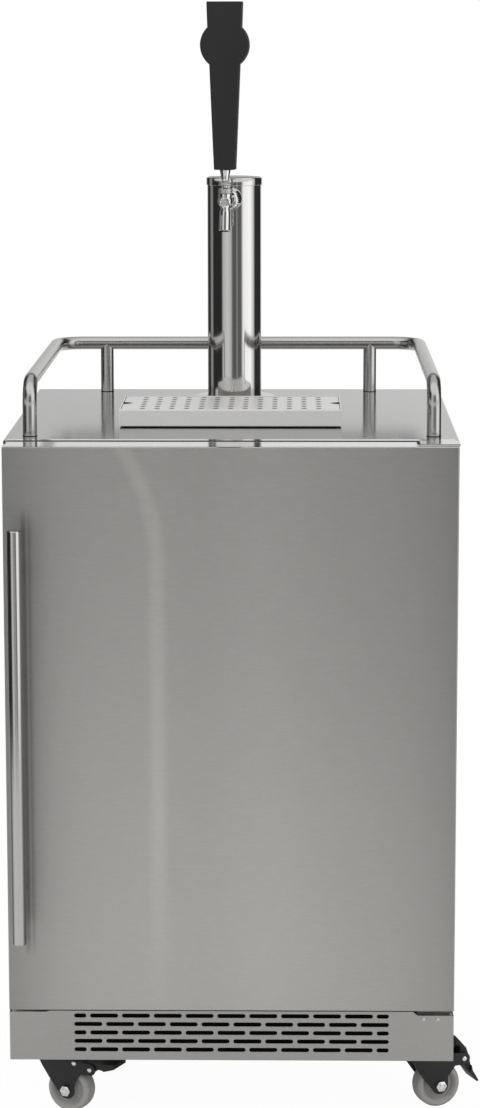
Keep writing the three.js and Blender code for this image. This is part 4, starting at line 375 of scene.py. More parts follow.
@dataclass(frozen=True)
class DoorFinish(BrushedFinish):
    """The door's steel, with a painted curved highlight streak and a painted faint reflection of the bar
    handle, both in its colour.

    Attributes:
        highlight_x: Where the painted highlight streak runs, in metres.
        highlight_half: Half its width.
        highlight_gain: How much lighter it is painted.
        highlight_foot: Heights between which it grows to its full gain.
        bend_low: Height from which it curves away to the left.
        bend_rise: How far above that it ends.
        bend_shift: How far it has moved there.
        bend_power: How sharply it curves.
        mirror: Places along x and the tone that the painted reflection of the bar gives there.
        painted_bar_reflection_low: Lowest height of that painted reflection.
        painted_bar_reflection_high: Its highest.
        fade: Over what height it fades out.
    """

    highlight_x: float = -0.115
    highlight_half: float = 0.019
    highlight_gain: float = 0.15
    highlight_foot: Pair = (0.15, 0.42)
    bend_low: float = 0.76
    bend_rise: float = 0.157
    bend_shift: float = 0.045
    bend_power: float = 2.2
    mirror: tuple[Pair, ...] = (
        (-0.294, 1.0), (-0.291, 0.6), (-0.2885, 0.55), (-0.2865, 0.66), (-0.2845, 1.0), (-0.2825, 0.72),
        (-0.277, 1.0),
    )
    painted_bar_reflection_low: float = 0.262
    painted_bar_reflection_high: float = 0.842
    fade: float = 0.03

    def pattern(self, bench: NodeBench) -> tuple[Socket, Socket, Socket]:
        """Paints the highlight streak and the bar's reflection into the brushed tone."""
        tone, wear, height = super().pattern(bench)
        axes = bench.axes()
        across, up = axes[0], axes[2]
        # Painted highlight: a lighter upright streak that curves to the left near the top.
        rise = bench.share(up, self.bend_low, self.bend_low + self.bend_rise)
        shift = bench.product(bench.sums("POWER", rise, self.bend_power), self.bend_shift)
        offset = bench.sums("SUBTRACT", bench.sums("ADD", across, shift), self.highlight_x)
        painted_highlight = bench.share(bench.sums("ABSOLUTE", offset), self.highlight_half, 0.0, "SMOOTHERSTEP")
        gain = bench.product(painted_highlight, bench.share(up, *self.highlight_foot), self.highlight_gain)
        # Painted reflection of the bar handle: darker lines beside it along x.
        low, high, fade = self.painted_bar_reflection_low, self.painted_bar_reflection_high, self.fade
        seen = bench.inside(axes, ((2, low - fade, low), (2, high, high - fade)))
        painted_reflection_tone = bench.mixed(seen, 1.0, bench.tones(across, self.mirror))
        return bench.product(tone, bench.sums("ADD", gain, 1.0), painted_reflection_tone), wear, height


@dataclass(frozen=True)
class TubeFinish(MetalFinish):
    """Polished tube with painted shade towards its two sides, standing in for the dark reflections that
    polished tubes show before a sheet of metal.

    Attributes:
        axis_x: Where the tube's axis stands along x, in metres.
        radius: The tube's radius.
        sides: Painted shade tones from the left side to the right, by share of the radius.
    """

    axis_x: float = 0.0
    radius: float = 0.0095
    sides: tuple[Pair, ...] = (
        (-1.0, 0.3), (-0.72, 0.22), (-0.58, 0.9), (-0.4, 1.0), (0.55, 1.0), (0.72, 0.4), (1.0, 0.3),
    )

    def pattern(self, bench: NodeBench) -> tuple[Socket, Socket, Socket]:
        """Paints shade into the plain tone towards the tube's sides."""
        tone, wear, height = super().pattern(bench)
        points = [(self.axis_x + u * self.radius, v) for u, v in self.sides]
        return bench.product(tone, bench.tones(bench.axes()[0], points)), wear, height


@dataclass(frozen=True)
class ZincFinish(Finish):
    """Plated metal with a faint crystal pattern.

    Attributes:
        crystal_scale: Crystals per metre.
    """

    metallic: float = 1.0
    relief_depth: float = 0.0001
    crystal_scale: float = 350.0

    def pattern(self, bench: NodeBench) -> tuple[Socket, Socket, Socket]:
        """Works out the crystalled tone, wear and height, as Finish.pattern does."""
        place = bench.place()
        cell = bench.add("TexVoronoi", Vector=place, Scale=self.crystal_scale)
        flake = bench.add("SeparateColor", Color=cell.outputs["Color"]).outputs[0]
        return bench.varied(flake, 1.0, self.mottle), flake, bench.noise(place, self.relief_scale)


@dataclass(frozen=True)
class HoseFinish(Finish):
    """Clear or tinted plastic tube.

    Attributes:
        clearness: Its transmission weight.
        bending: Its index of refraction.
    """

    clearness: float = 0.6
    bending: float = 1.45

    def extra(self, shader: bpy.types.Node) -> None:
        """Sets how clear the tube is."""
        shader.inputs["Transmission Weight"].default_value = self.clearness
        shader.inputs["IOR"].default_value = self.bending


# Painted reflection bands on the door: lighter near the middle, painted shade towards both side edges.
DOOR_PAINTED_LIGHT_BANDS: tuple[Pair, ...] = (
    (-0.316, 0.66), (-0.276, 0.82), (-0.238, 0.93), (-0.199, 0.98), (-0.161, 1.0),
    (-0.115, 1.03), (-0.070, 1.0), (-0.032, 1.02), (0.019, 1.07), (0.071, 1.03),
    (0.122, 0.97), (0.174, 0.93), (0.225, 0.86), (0.262, 0.77), (0.279, 0.70),
)
# Painted highlight along the door's top edge: 1.75 times lighter and glossier.
DOOR_TOP_PAINTED_HIGHLIGHT = Zone(1.75, ((2, 0.9176, 0.9188),), 0.1)
# Painted shade in the grid's holes, below its top face.
GRID_HOLE_SHADE = Zone(0.12, ((2, 0.94602, 0.94590),))
# Painted highlight along the top of the tray's front face.
TRAY_RIM_PAINTED_HIGHLIGHT = Zone(1.25, ((2, 0.9440, 0.9450), (1, -0.1055, -0.1060)))
# Painted shade inside the tray's well, below the grid.
TRAY_WELL_SHADE = Zone(0.22, (
    (0, -0.1722, -0.1716), (0, 0.1275, 0.1269), (1, -0.1065, -0.1059), (1, 0.0510, 0.0504),
    (2, 0.9450, 0.9443),
))

DOOR_STEEL = DoorFinish("door_brushed_steel", "stainless", (0.56, 0.553, 0.535), 0.36, painted_light_bands=DOOR_PAINTED_LIGHT_BANDS,
                        zones=(DOOR_TOP_PAINTED_HIGHLIGHT,))
KICK_STEEL = BrushedFinish("kick_brushed_steel", "stainless", (0.47, 0.464, 0.449), 0.36)
SHELL_STEEL = BrushedFinish("shell_brushed_steel", "stainless", (0.53, 0.524, 0.508), 0.38)
TOP_STEEL = BrushedFinish("worktop_satin_steel", "stainless", (0.35, 0.347, 0.338), 0.12, mottle=0.05,
                          mottle_scale=5.0, rough_swing=0.03, relief=0.05, grain_depth=0.02)
TRAY_STEEL = BrushedFinish("tray_matt_steel", "stainless", (0.86, 0.855, 0.84), 0.4, 0.5, mottle_scale=6.0,
                           rough_swing=0.04, relief=0.08, grain_depth=0.03,
                           zones=(TRAY_WELL_SHADE, TRAY_RIM_PAINTED_HIGHLIGHT))
GRID_STEEL = replace(TRAY_STEEL, name="grid_matt_steel", colour=(0.85, 0.845, 0.83),
                     zones=(GRID_HOLE_SHADE,))
TOWER_STEEL = BrushedFinish("tower_polished_steel", "polished_steel", (0.66, 0.655, 0.645), 0.07,
                            mottle=0.02, mottle_scale=8.0, rough_swing=0.02, relief=0.02,
                            grain=Grain.UPRIGHT, grain_depth=0.04)
ALUMINIUM = BrushedFinish("satin_aluminium", "aluminium", (0.62, 0.63, 0.64), 0.34, mottle=0.04,
                          mottle_scale=8.0, rough_swing=0.06, relief=0.1,
                          grain=Grain.UPRIGHT, grain_depth=0.03)
# Painted highlight: a much lighter copy of stainless for the bright edge strips.
EDGE_HIGHLIGHT_STEEL = MetalFinish("edge_highlight_steel", "stainless", (0.93, 0.928, 0.92), 0.1, mottle_scale=20.0)
HINGE_STEEL = MetalFinish("hinge_bright_steel", "zinc", (0.86, 0.86, 0.85), 0.2, mottle_scale=30.0,
                          rough_swing=0.04, relief=0.03)
BOLT_STEEL = MetalFinish("bolt_bright_steel", "zinc", (0.88, 0.88, 0.87), 0.2, mottle=0.08,
                         mottle_scale=300.0, rough_swing=0.06, relief=0.1)
RAIL_STEEL = MetalFinish("rail_satin_tube", "polished_steel", (0.5, 0.494, 0.482), 0.22, mottle_scale=14.0,
                         relief_scale=300.0)
BAR_STEEL = TubeFinish("bar_polished_tube", "polished_steel", (0.56, 0.553, 0.54), 0.14, mottle_scale=14.0,
                       rough_swing=0.03, relief_scale=300.0, axis_x=-0.2962)
CAP_STEEL = MetalFinish("cap_top_steel", "polished_steel", (0.4, 0.395, 0.385), 0.3, mottle=0.08,
                        mottle_scale=30.0, rough_swing=0.06, relief=0.08)
CHROME = MetalFinish("bright_chrome", "chrome", (0.72, 0.72, 0.715), 0.07, mottle=0.02, mottle_scale=40.0)
WORN_CHROME = MetalFinish("knurled_chrome", "chrome", (0.6, 0.6, 0.59), 0.36, mottle=0.06,
                          mottle_scale=90.0, rough_swing=0.08, relief=0.15)
BRASS = MetalFinish("cast_brass", "brass", (0.62, 0.43, 0.16), 0.3, mottle=0.1, rough_swing=0.1, relief=0.2)
PAN_STEEL = ZincFinish("galvanised_sheet", "zinc", (0.45, 0.45, 0.44), 0.42, mottle=0.16, rough_swing=0.1,
                       crystal_scale=110.0)
ZINC = ZincFinish("zinc_plating", "zinc", (0.62, 0.62, 0.6), 0.3)
# Painted shade: near-black finish for the sheet behind the kick panel's slots.
SLOT_SHADE_BLACK = Finish("slot_shade_black", "dark_steel", (0.006, 0.006, 0.006), 0.7, 1.0, mottle=0.2,
                      relief=0.2)
DARK_STEEL = Finish("dark_steel", "dark_steel", (0.045, 0.045, 0.045), 0.4, 0.6, mottle=0.2, relief=0.2)
BLACK_PAINT = Finish("black_powder_coat", "black_paint", (0.009, 0.009, 0.009), 0.42, mottle=0.15,
                     relief=0.35, relief_scale=1400.0)
BLACK_PLASTIC = Finish("black_moulding", "black_plastic", (0.026, 0.026, 0.026), 0.48, mottle=0.1,
                       rough_swing=0.07, relief=0.25, relief_scale=1600.0)
HANDLE_PLASTIC = Finish("tap_handle_black", "black_plastic", (0.009, 0.009, 0.0087), 0.55, mottle=0.07,
                        mottle_scale=25.0, rough_swing=0.06, relief=0.2, relief_scale=2200.0)
TYRE = Finish("tyre_grey", "wheel_rubber", (0.37, 0.364, 0.35), 0.5, mottle=0.06, relief=0.15)
HUB = Finish("hub_grey", "wheel_rubber", (0.32, 0.315, 0.302), 0.42, mottle=0.06)
WHITE_PLASTIC = Finish("white_liner_plastic", "white_plastic", (0.76, 0.765, 0.75), 0.4, mottle=0.025,
                       mottle_scale=7.0, rough_swing=0.06, relief=0.08, relief_scale=700.0)
DIAL = Finish("gauge_dial", "white_plastic", (0.82, 0.82, 0.8), 0.3, mottle=0.03, relief=0.02)
FOAM = Finish("foamed_core", "foam", (0.66, 0.55, 0.3), 0.9, mottle=0.12, mottle_scale=180.0,
              rough_swing=0.05, relief=0.8, relief_scale=700.0)
SEAL = Finish("gasket_grey", "seal_rubber", (0.2, 0.2, 0.195), 0.62, relief=0.2)
CLEAR_HOSE = HoseFinish("clear_beer_line", "clear_hose", (0.78, 0.78, 0.74), 0.22, mottle=0.04,
                        rough_swing=0.05, relief=0.05)
RED_HOSE = HoseFinish("red_gas_hose", "red_hose", (0.5, 0.03, 0.025), 0.35, clearness=0.1)


class Solid:
    """A mesh in the making, in millimetres of its own frame."""

    def __init__(self) -> None:
        """Starts an empty mesh."""
        self.bm = bmesh.new()

    @classmethod
    def turned(
        cls, profile: Sequence[Pair], steps: int, turn: Turn = Turn.UP, closed: bool = False,
    ) -> "Solid":
        """Spins a profile into a solid of revolution about its own axis.

        Args:
            profile: Radius and height pairs, from one end of the axis to the other.
            steps: Facets round it.
            turn: Where the axis points.
            closed: Whether the profile is a ring that never meets the axis.

        Returns:
            The solid.
        """
        made = cls()
        corners = [made.bm.verts.new((r, 0.0, h)) for r, h in profile]
        pairs = list(zip(corners, corners[1:]))
        if closed:
            pairs.append((corners[-1], corners[0]))
        edges = [made.bm.edges.new(pair) for pair in pairs]
        bmesh.ops.spin(
            made.bm, geom=corners + edges, cent=(0, 0, 0), axis=(0, 0, 1), dvec=(0, 0, 0),
            angle=2 * math.pi, steps=steps, use_merge=True, use_duplicate=False,
        )
        bmesh.ops.remove_doubles(made.bm, verts=made.bm.verts[:], dist=1e-4)
        bmesh.ops.dissolve_degenerate(made.bm, dist=1e-5, edges=made.bm.edges[:])
        bmesh.ops.recalc_face_normals(made.bm, faces=made.bm.faces[:])
        return made.moved(turn.value)

    @classmethod
    def block(cls, low: Triple, high: Triple, edge: float = 0.0) -> "Solid":
        """Makes a box with rounded edges.

        Args:
            low: Lowest corner.
            high: Highest corner.
            edge: Radius of every edge.

        Returns:
            The solid.
        """
        made = cls()
        bmesh.ops.create_cube(made.bm, size=1.0)
        size = Vector(high) - Vector(low)
        middle = (Vector(high) + Vector(low)) / 2
        made.moved(Matrix.Translation(middle) @ Matrix.Diagonal((*size, 1.0)))
        return made.rounded(edge) if edge else made

    @classmethod
    def plate(
        cls, outline: Sequence[Pair], low: float, high: float, turn: Turn = Turn.UP,
        holes: Sequence[Sequence[Pair]] = (), edge: float = 0.0, segments: int = 2,
    ) -> "Solid":
        """Cuts a sheet to an outline with holes and gives it its thickness.

        Args:
            outline: The outer corners in order.
            low: Where the sheet starts along its own normal.
            high: Where it ends.
            turn: Where the sheet's normal points.
            holes: Corners of each hole in order.
            edge: Radius of the sharp edges.
            segments: Facets across that radius.

        Returns:
            The solid.
        """
        made = cls()
        edges = []
        for loop in (outline, *holes):
            corners = [made.bm.verts.new((u, v, low)) for u, v in loop]
            edges += [made.bm.edges.new((a, b)) for a, b in zip(corners, corners[1:] + corners[:1])]
        if holes:
            bmesh.ops.triangle_fill(made.bm, use_beauty=True, use_dissolve=False, edges=edges)
        else:
            bmesh.ops.contextual_create(made.bm, geom=edges)
        grown = bmesh.ops.extrude_face_region(made.bm, geom=made.bm.faces[:], use_keep_orig=True)
        top = [g for g in grown["geom"] if isinstance(g, bmesh.types.BMVert)]
        bmesh.ops.translate(made.bm, verts=top, vec=(0, 0, high - low))
        bmesh.ops.recalc_face_normals(made.bm, faces=made.bm.faces[:])
        if edge:
            made.rounded(edge, segments)
        return made.moved(turn.value)

    @classmethod
    def swept(cls, path: Sequence[Vector], radius: float, sides: int) -> "Solid":
        """Draws a round tube along a path.

        Args:
            path: The points of its middle line.
            radius: Its radius.
            sides: Facets round it.

        Returns:
            The solid, closed at both ends.
        """
        made = cls()
        ring = bmesh.ops.create_circle(made.bm, cap_ends=False, segments=sides, radius=radius)["verts"]
        ahead = [(b - a).normalized() for a, b in zip(path, path[1:])]
        tangents = [ahead[0]] + [(a + b).normalized() for a, b in zip(ahead, ahead[1:])] + [ahead[-1]]
        lean = Vector((0, 0, 1)).rotation_difference(tangents[0]).to_matrix().to_4x4()
        bmesh.ops.transform(made.bm, matrix=Matrix.Translation(path[0]) @ lean, verts=ring)
        edges = made.bm.edges[:]
        made.bm.faces.new(ring)
        for before, after, old, new in zip(path, path[1:], tangents, tangents[1:]):
            grown = bmesh.ops.extrude_edge_only(made.bm, edges=edges)["geom"]
            verts = [g for g in grown if isinstance(g, bmesh.types.BMVert)]
            edges = [g for g in grown if isinstance(g, bmesh.types.BMEdge)]
            swing = old.rotation_difference(new).to_matrix().to_4x4()
            step = Matrix.Translation(after) @ swing @ Matrix.Translation(-before)
            bmesh.ops.transform(made.bm, matrix=step, verts=verts)
        bmesh.ops.contextual_create(made.bm, geom=edges)
        bmesh.ops.recalc_face_normals(made.bm, faces=made.bm.faces[:])
        return made

    def rounded(self, width: float, segments: int = 2) -> "Solid":
        """Bevels the edges sharper than BEVEL_CREASE.

        Args:
            width: The radius.
            segments: Facets across it.

        Returns:
            This solid.
        """
        limit = math.radians(BEVEL_CREASE)
        sharp = [e for e in self.bm.edges if len(e.link_faces) == 2 and e.calc_face_angle(0.0) > limit]
        bmesh.ops.bevel(
            self.bm, geom=sharp, offset=width, offset_type="OFFSET", affect="EDGES",
            segments=segments, profile=0.5, material=-1, clamp_overlap=True,
        )
        return self

    def moved(self, matrix: Matrix) -> "Solid":
        """Applies a transform and returns this solid."""
        bmesh.ops.transform(self.bm, matrix=matrix, verts=self.bm.verts[:])
        return self

    def at(self, x: float, y: float, z: float) -> "Solid":
        """Moves this solid by x, y and z and returns it."""
        return self.moved(Matrix.Translation((x, y, z)))

    def with_(self, *others: "Solid") -> "Solid":
        """Takes other solids into this one, which uses them up, and returns it."""
        for other in others:
            spare = bpy.data.meshes.new("spare")
            other.bm.to_mesh(spare)
            other.bm.free()
            self.bm.from_mesh(spare)
            bpy.data.meshes.remove(spare)
        return self


def smooth_path(corners: Sequence[Triple], bend: float, steps: int) -> list[Vector]:
    """Rounds the corners of a route.

    Args:
        corners: The route's corners.
        bend: Radius of each bend.
        steps: Points along each bend.

    Returns:
        The points of the rounded route.
    """
    points = [Vector(c) for c in corners]
    route = [points[0]]
    for before, corner, after in zip(points, points[1:], points[2:]):
        back, on = (before - corner).normalized(), (after - corner).normalized()
        half = back.angle(on) / 2
        reach = min(bend / math.tan(half), 0.49 * (before - corner).length, 0.49 * (after - corner).length)
        radius = reach * math.tan(half)
        centre = corner + (back + on).normalized() * (radius / math.sin(half))
        start, end = corner + back * reach - centre, corner + on * reach - centre
        for step in range(steps + 1):
            route.append(centre + radius * start.slerp(end, step / steps))
    route.append(points[-1])
    return route


def spots(x: float, y: float, radius: float, turns: Sequence[float]) -> list[Pair]:
    """Gives points on a circle at angles in radians."""
    return [(x + radius * math.cos(a), y + radius * math.sin(a)) for a in turns]


def arc(x: float, y: float, radius: float, start: float, end: float, steps: int) -> list[Pair]:
    """Gives points along an arc, with its angles in degrees."""
    return spots(x, y, radius, [math.radians(start + (end - start) * n / steps) for n in range(steps + 1)])


def ring_points(radius: float, count: int, x: float = 0.0, y: float = 0.0) -> list[Pair]:
    """Gives the corners of a round hole or of an even-sided plate."""
    return arc(x, y, radius, 0.0, 360.0 - 360.0 / count, count - 1)


def rectangle(left: float, right: float, low: float, high: float) -> list[Pair]:
    """Gives a rectangle's corners, which are also the profile of a plain disc or tube."""
    return [(left, low), (right, low), (right, high), (left, high)]


def scaled(points: Sequence[Pair], across: float, up: float) -> list[Pair]:
    """Stretches points across and up."""
    return [(u * across, v * up) for u, v in points]


def about(axis: str, degrees: float) -> Matrix:
    """Gives a turn about an axis."""
    return Matrix.Rotation(math.radians(degrees), 4, axis)


def linked(name: str, data: bpy.types.ID) -> bpy.types.Object:
    """Puts a mesh, a camera or a lamp in the scene and returns its object."""
    made = bpy.data.objects.new(name, data)
    bpy.context.scene.collection.objects.link(made)
    return made


@dataclass
class Workshop:
    """Puts finished meshes in the scene, each on its body and with its finish.

    Attributes:
        origin: Where the cabinet frame's zero lies in the row frame, in metres.
        paints: The material already made for each finish.
    """

    origin: Vector
    paints: dict = field(default_factory=dict)

    def paint(self, finish: Finish) -> bpy.types.Material:
        """The one material of a finish."""
        if finish not in self.paints:
            self.paints[finish] = finish.material()
        return self.paints[finish]

    def put(
        self, name: str, solid: Solid, finish: Finish, body: str = "cabinet",
        place: Optional[Matrix] = None, stands_for: Sequence[str] = (), crease: float = PLAIN_CREASE,
    ) -> None:
        """Turns a solid into a finished piece.

        Args:
            name: The piece's name.
            solid: Its mesh, which is used up.
            finish: Its finish.
            body: The body that it rides on.
            place: A transform within the cabinet frame.
            stands_for: CAD nodes that it stands for.
            crease: The angle in degrees up to which faces are smoothed together.
        """
        row = Matrix.Translation(self.origin) @ Matrix.Diagonal((MM, MM, MM, 1.0))
        solid.moved(row @ (place or Matrix.Identity(4)))
        mesh = bpy.data.meshes.new(name)
        solid.bm.to_mesh(mesh)
        solid.bm.free()
        mesh.shade_smooth()
        mesh.set_sharp_from_angle(angle=math.radians(crease))
        mesh.materials.append(self.paint(finish))
        piece = linked(name, mesh)
        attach(piece, body)
        if stands_for:
            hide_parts(*stands_for)
        LOG.info("%s: %d faces on %s", name, len(mesh.polygons), body)

    def dress(self, finish: Finish, *nodes: str) -> None:
        """Gives CAD nodes a finish.

        Args:
            finish: The finish.
            nodes: The nodes' names.
        """
        for node in nodes:
            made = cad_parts[node]
            made.data.materials.clear()
            made.data.materials.append(self.paint(finish))
            LOG.info("%s: dressed in %s", node, finish.name)


@dataclass
class Studio:
    """Camera, white surroundings, floor and soft lamps, all in the row frame in metres.

    Attributes:
        station: Where the camera stands.
        yaw: How far it is turned to the left, in degrees.
        pitch: How far it looks down, in degrees.
        roll: How far it is tilted, in degrees.
        focal: Focal length in pixels of the full frame.
        frame_height: Height of the full frame in pixels.
        sensor: The sensor's size in millimetres.
        clip: Nearest and farthest distance seen.
        floor_reach: The floor's radius.
        floor_tone: Its grey.
        floor_camera_share: How much of it is plain white to the camera.
        floor_mirror_share: How much of it is plain white in metal.
        floor_glow: How bright that white is.
        fill: Level of the light that the surroundings give.
        target: Where the lamps point.
    """

    station: Triple = (0.06128, -4.3051, 1.45132)
    yaw: float = 0.9646
    pitch: float = 9.505
    roll: float = -0.0836
    focal: float = 3120.94
    frame_height: float = 1108.0
    sensor: float = 36.0
    clip: Pair = (0.05, 60.0)
    floor_reach: float = 2.6
    floor_tone: float = 0.7
    floor_camera_share: float = 0.95
    floor_mirror_share: float = 0.13
    floor_glow: float = 1.02
    fill: float = 0.62
    target: Triple = (0.0, 0.0, 0.8)

    BANDS: ClassVar[tuple[Pair, ...]] = (
        (-180, 0.74), (-172, 0.66), (-158, 0.58), (-150, 0.03), (-126, 0.03), (-118, 0.32), (-106, 0.3),
        (-100, 0.03), (-56, 0.03), (-48, 0.62), (-28, 0.8), (-14, 0.62), (-6, 0.13), (9, 0.13), (12, 0.5),
        (15, 0.13), (30, 0.16), (39, 1.25), (72, 1.45), (84, 1.0), (93, 0.6), (98, 0.04), (150, 0.03),
        (158, 0.76), (172, 0.84), (180, 0.74),
    )
    LAMPS: ClassVar[tuple[tuple[str, Triple, float, float], ...]] = (
        ("lamp_left", (-2.4, -2.6, 3.0), 2.4, 62.0), ("lamp_right", (2.6, -2.2, 2.4), 2.2, 30.0),
        ("lamp_rear", (0.4, 2.6, 3.2), 2.6, 36.0),
    )

    def build(self) -> None:
        """Makes the camera, the world, the floor and the lamps."""
        self.camera()
        self.world()
        self.floor()
        self.lamps()

    def camera(self) -> None:
        """Places the camera at the photograph's viewing angle."""
        yaw, pitch, roll = (math.radians(a) for a in (self.yaw, self.pitch, self.roll))
        level = math.cos(pitch)
        ahead = Vector((-math.sin(yaw) * level, math.cos(yaw) * level, -math.sin(pitch)))
        right = Vector((math.cos(yaw), math.sin(yaw), 0.0))
        up = right.cross(ahead)
        across = math.cos(roll) * right + math.sin(roll) * up
        above = -math.sin(roll) * right + math.cos(roll) * up
        data = bpy.data.cameras.new("camera")
        data.sensor_width = self.sensor
        data.lens = self.focal * self.sensor / self.frame_height
        data.clip_start, data.clip_end = self.clip
        made = linked("camera", data)
        pose = Matrix((across, above, -ahead)).transposed().to_4x4()
        made.matrix_world = Matrix.Translation(self.station) @ pose
        bpy.context.scene.camera = made

    def world(self) -> None:
        """White to the camera, banded to metal, and a plain level of light elsewhere."""
        world = bpy.data.worlds.new("studio")
        bpy.context.scene.world = world
        world.use_nodes = True
        bench = NodeBench(world.node_tree)
        way = bench.axes("Generated")
        turn = bench.sums("ARCTAN2", way[0], bench.product(way[1], -1.0))
        seen = bench.tones(turn, [(math.radians(angle), tone) for angle, tone in self.BANDS])
        for patch in Patch:
            level, faces = patch.value
            seen = bench.mixed(bench.inside(way, faces, "SMOOTHSTEP"), seen, level)
        path = bench.add("LightPath").outputs
        lit = bench.mixed(bench.mirrored(path), self.fill, seen)
        level = bench.mixed(path["Is Camera Ray"], lit, 1.0)
        sky = bench.add("Background", Color=(1.0, 1.0, 1.0, 1.0), Strength=level)
        bench.add("OutputWorld", Surface=sky.outputs[0])

    def floor(self) -> None:
        """A round white floor that keeps a faint shadow."""
        mesh = bpy.data.meshes.new("floor")
        bm = bmesh.new()
        bmesh.ops.create_circle(bm, cap_ends=True, segments=96, radius=self.floor_reach)
        bm.to_mesh(mesh)
        bm.free()
        made = bpy.data.materials.new("white_floor")
        made.use_nodes = True
        bench = NodeBench(made.node_tree)
        path = bench.add("LightPath").outputs
        camera_share = bench.product(path["Is Camera Ray"], self.floor_camera_share)
        mirror_share = bench.product(bench.mirrored(path), self.floor_mirror_share)
        share = bench.sums("ADD", camera_share, mirror_share)
        plain = bench.add("BsdfDiffuse", Color=(*[self.floor_tone] * 3, 1.0)).outputs[0]
        white = bench.add("Emission", Strength=self.floor_glow).outputs[0]
        mix = bench.add("MixShader", i0=share, i1=plain, i2=white)
        bench.add("OutputMaterial", Surface=mix.outputs[0])
        mesh.materials.append(made)
        linked("floor", mesh)

    def lamps(self) -> None:
        """Three large soft lamps that metal doesn't mirror as hard shapes."""
        for name, place, size, power in self.LAMPS:
            data = bpy.data.lights.new(name, "AREA")
            data.size = size
            data.energy = power
            lamp = linked(name, data)
            aim = (Vector(self.target) - Vector(place)).to_track_quat("-Z", "Y").to_matrix().to_4x4()
            lamp.matrix_world = Matrix.Translation(place) @ aim
            lamp.visible_glossy = False


@dataclass
class BrightEdges:
    """The worktop's rolled front edge and the fold on the door's top, as tilted strips that catch real
    reflections, in a much lighter steel colour that is a painted highlight.
    """

    shop: Workshop
    half: float = 294.0
    lip: float = 0.1
    worktop_top: float = 922.3
    worktop_front: float = 46.2
    roll_depth: float = 8.0
    roll_height: float = 0.6
    door_top: float = 919.8
    fold_front: float = 1.7
    fold_rear: float = 41.0
    fold_rise: float = 1.4
    fold_right: float = 243.0

    def build(self) -> None:
        """Makes both strips as wedges that rise toward the rear."""
        depths = self.worktop_front, self.worktop_front + self.roll_depth
        self.strip("worktop_front_roll", "cabinet", depths, (self.worktop_top, self.roll_height), self.half)
        depths = self.fold_front, self.fold_rear
        self.strip("door_top_fold", "door", depths, (self.door_top, self.fold_rise), self.fold_right)

    def strip(self, name: str, body: str, depths: Pair, heights: Pair, right: float) -> None:
        """Makes one strip.

        Args:
            name: The piece's name.
            body: The body that it rides on.
            depths: Where it starts and ends along y.
            heights: Its underside, and how far its rear edge stands above that.
            right: Where it ends on the right.
        """
        (front, rear), (low, rise) = depths, heights
        wedge = [(front, low), (rear, low), (rear, low + rise), (front, low + self.lip)]
        self.shop.put(name, Solid.plate(wedge, -self.half, right, Turn.SIDEWAYS), EDGE_HIGHLIGHT_STEEL, body)


@dataclass
class GuardRail:
    """The bent tube round the worktop, its two rear posts and its foot seals."""

    shop: Workshop
    radius: float = 9.5
    half_width: float = 268.0
    front: float = 96.0
    rear: float = 620.0
    foot: float = 922.3
    centre: float = 994.0
    bend: float = 40.0
    post_half: float = 195.5
    seal: float = 0.5
    seal_rim: float = 0.35
    sides: int = 40

    def build(self) -> None:
        """Makes the rail and its seals."""
        low, x = self.foot + self.seal / 3, self.half_width
        corners = [
            (-x, self.front, low), (-x, self.front, self.centre), (-x, self.rear, self.centre),
            (x, self.rear, self.centre), (x, self.front, self.centre), (x, self.front, low),
        ]
        rail = Solid.swept(smooth_path(corners, self.bend, 14), self.radius, self.sides)
        for side in (-self.post_half, self.post_half):
            post = [Vector((side, self.rear, low)), Vector((side, self.rear, self.centre))]
            rail.with_(Solid.swept(post, self.radius, self.sides))
        self.shop.put("guard_rail_tube", rail, RAIL_STEEL, stands_for=["guard_rail"])
        seals = Solid()
        profile = rectangle(0, self.radius + self.seal_rim, self.foot, self.foot + self.seal)
        feet = ((-x, self.front), (x, self.front), (-self.post_half, self.rear), (self.post_half, self.rear))
        for u, v in feet:
            seals.with_(Solid.turned(profile, self.sides).at(u, v, 0))
        self.shop.put("rail_foot_seals", seals, BLACK_PLASTIC)


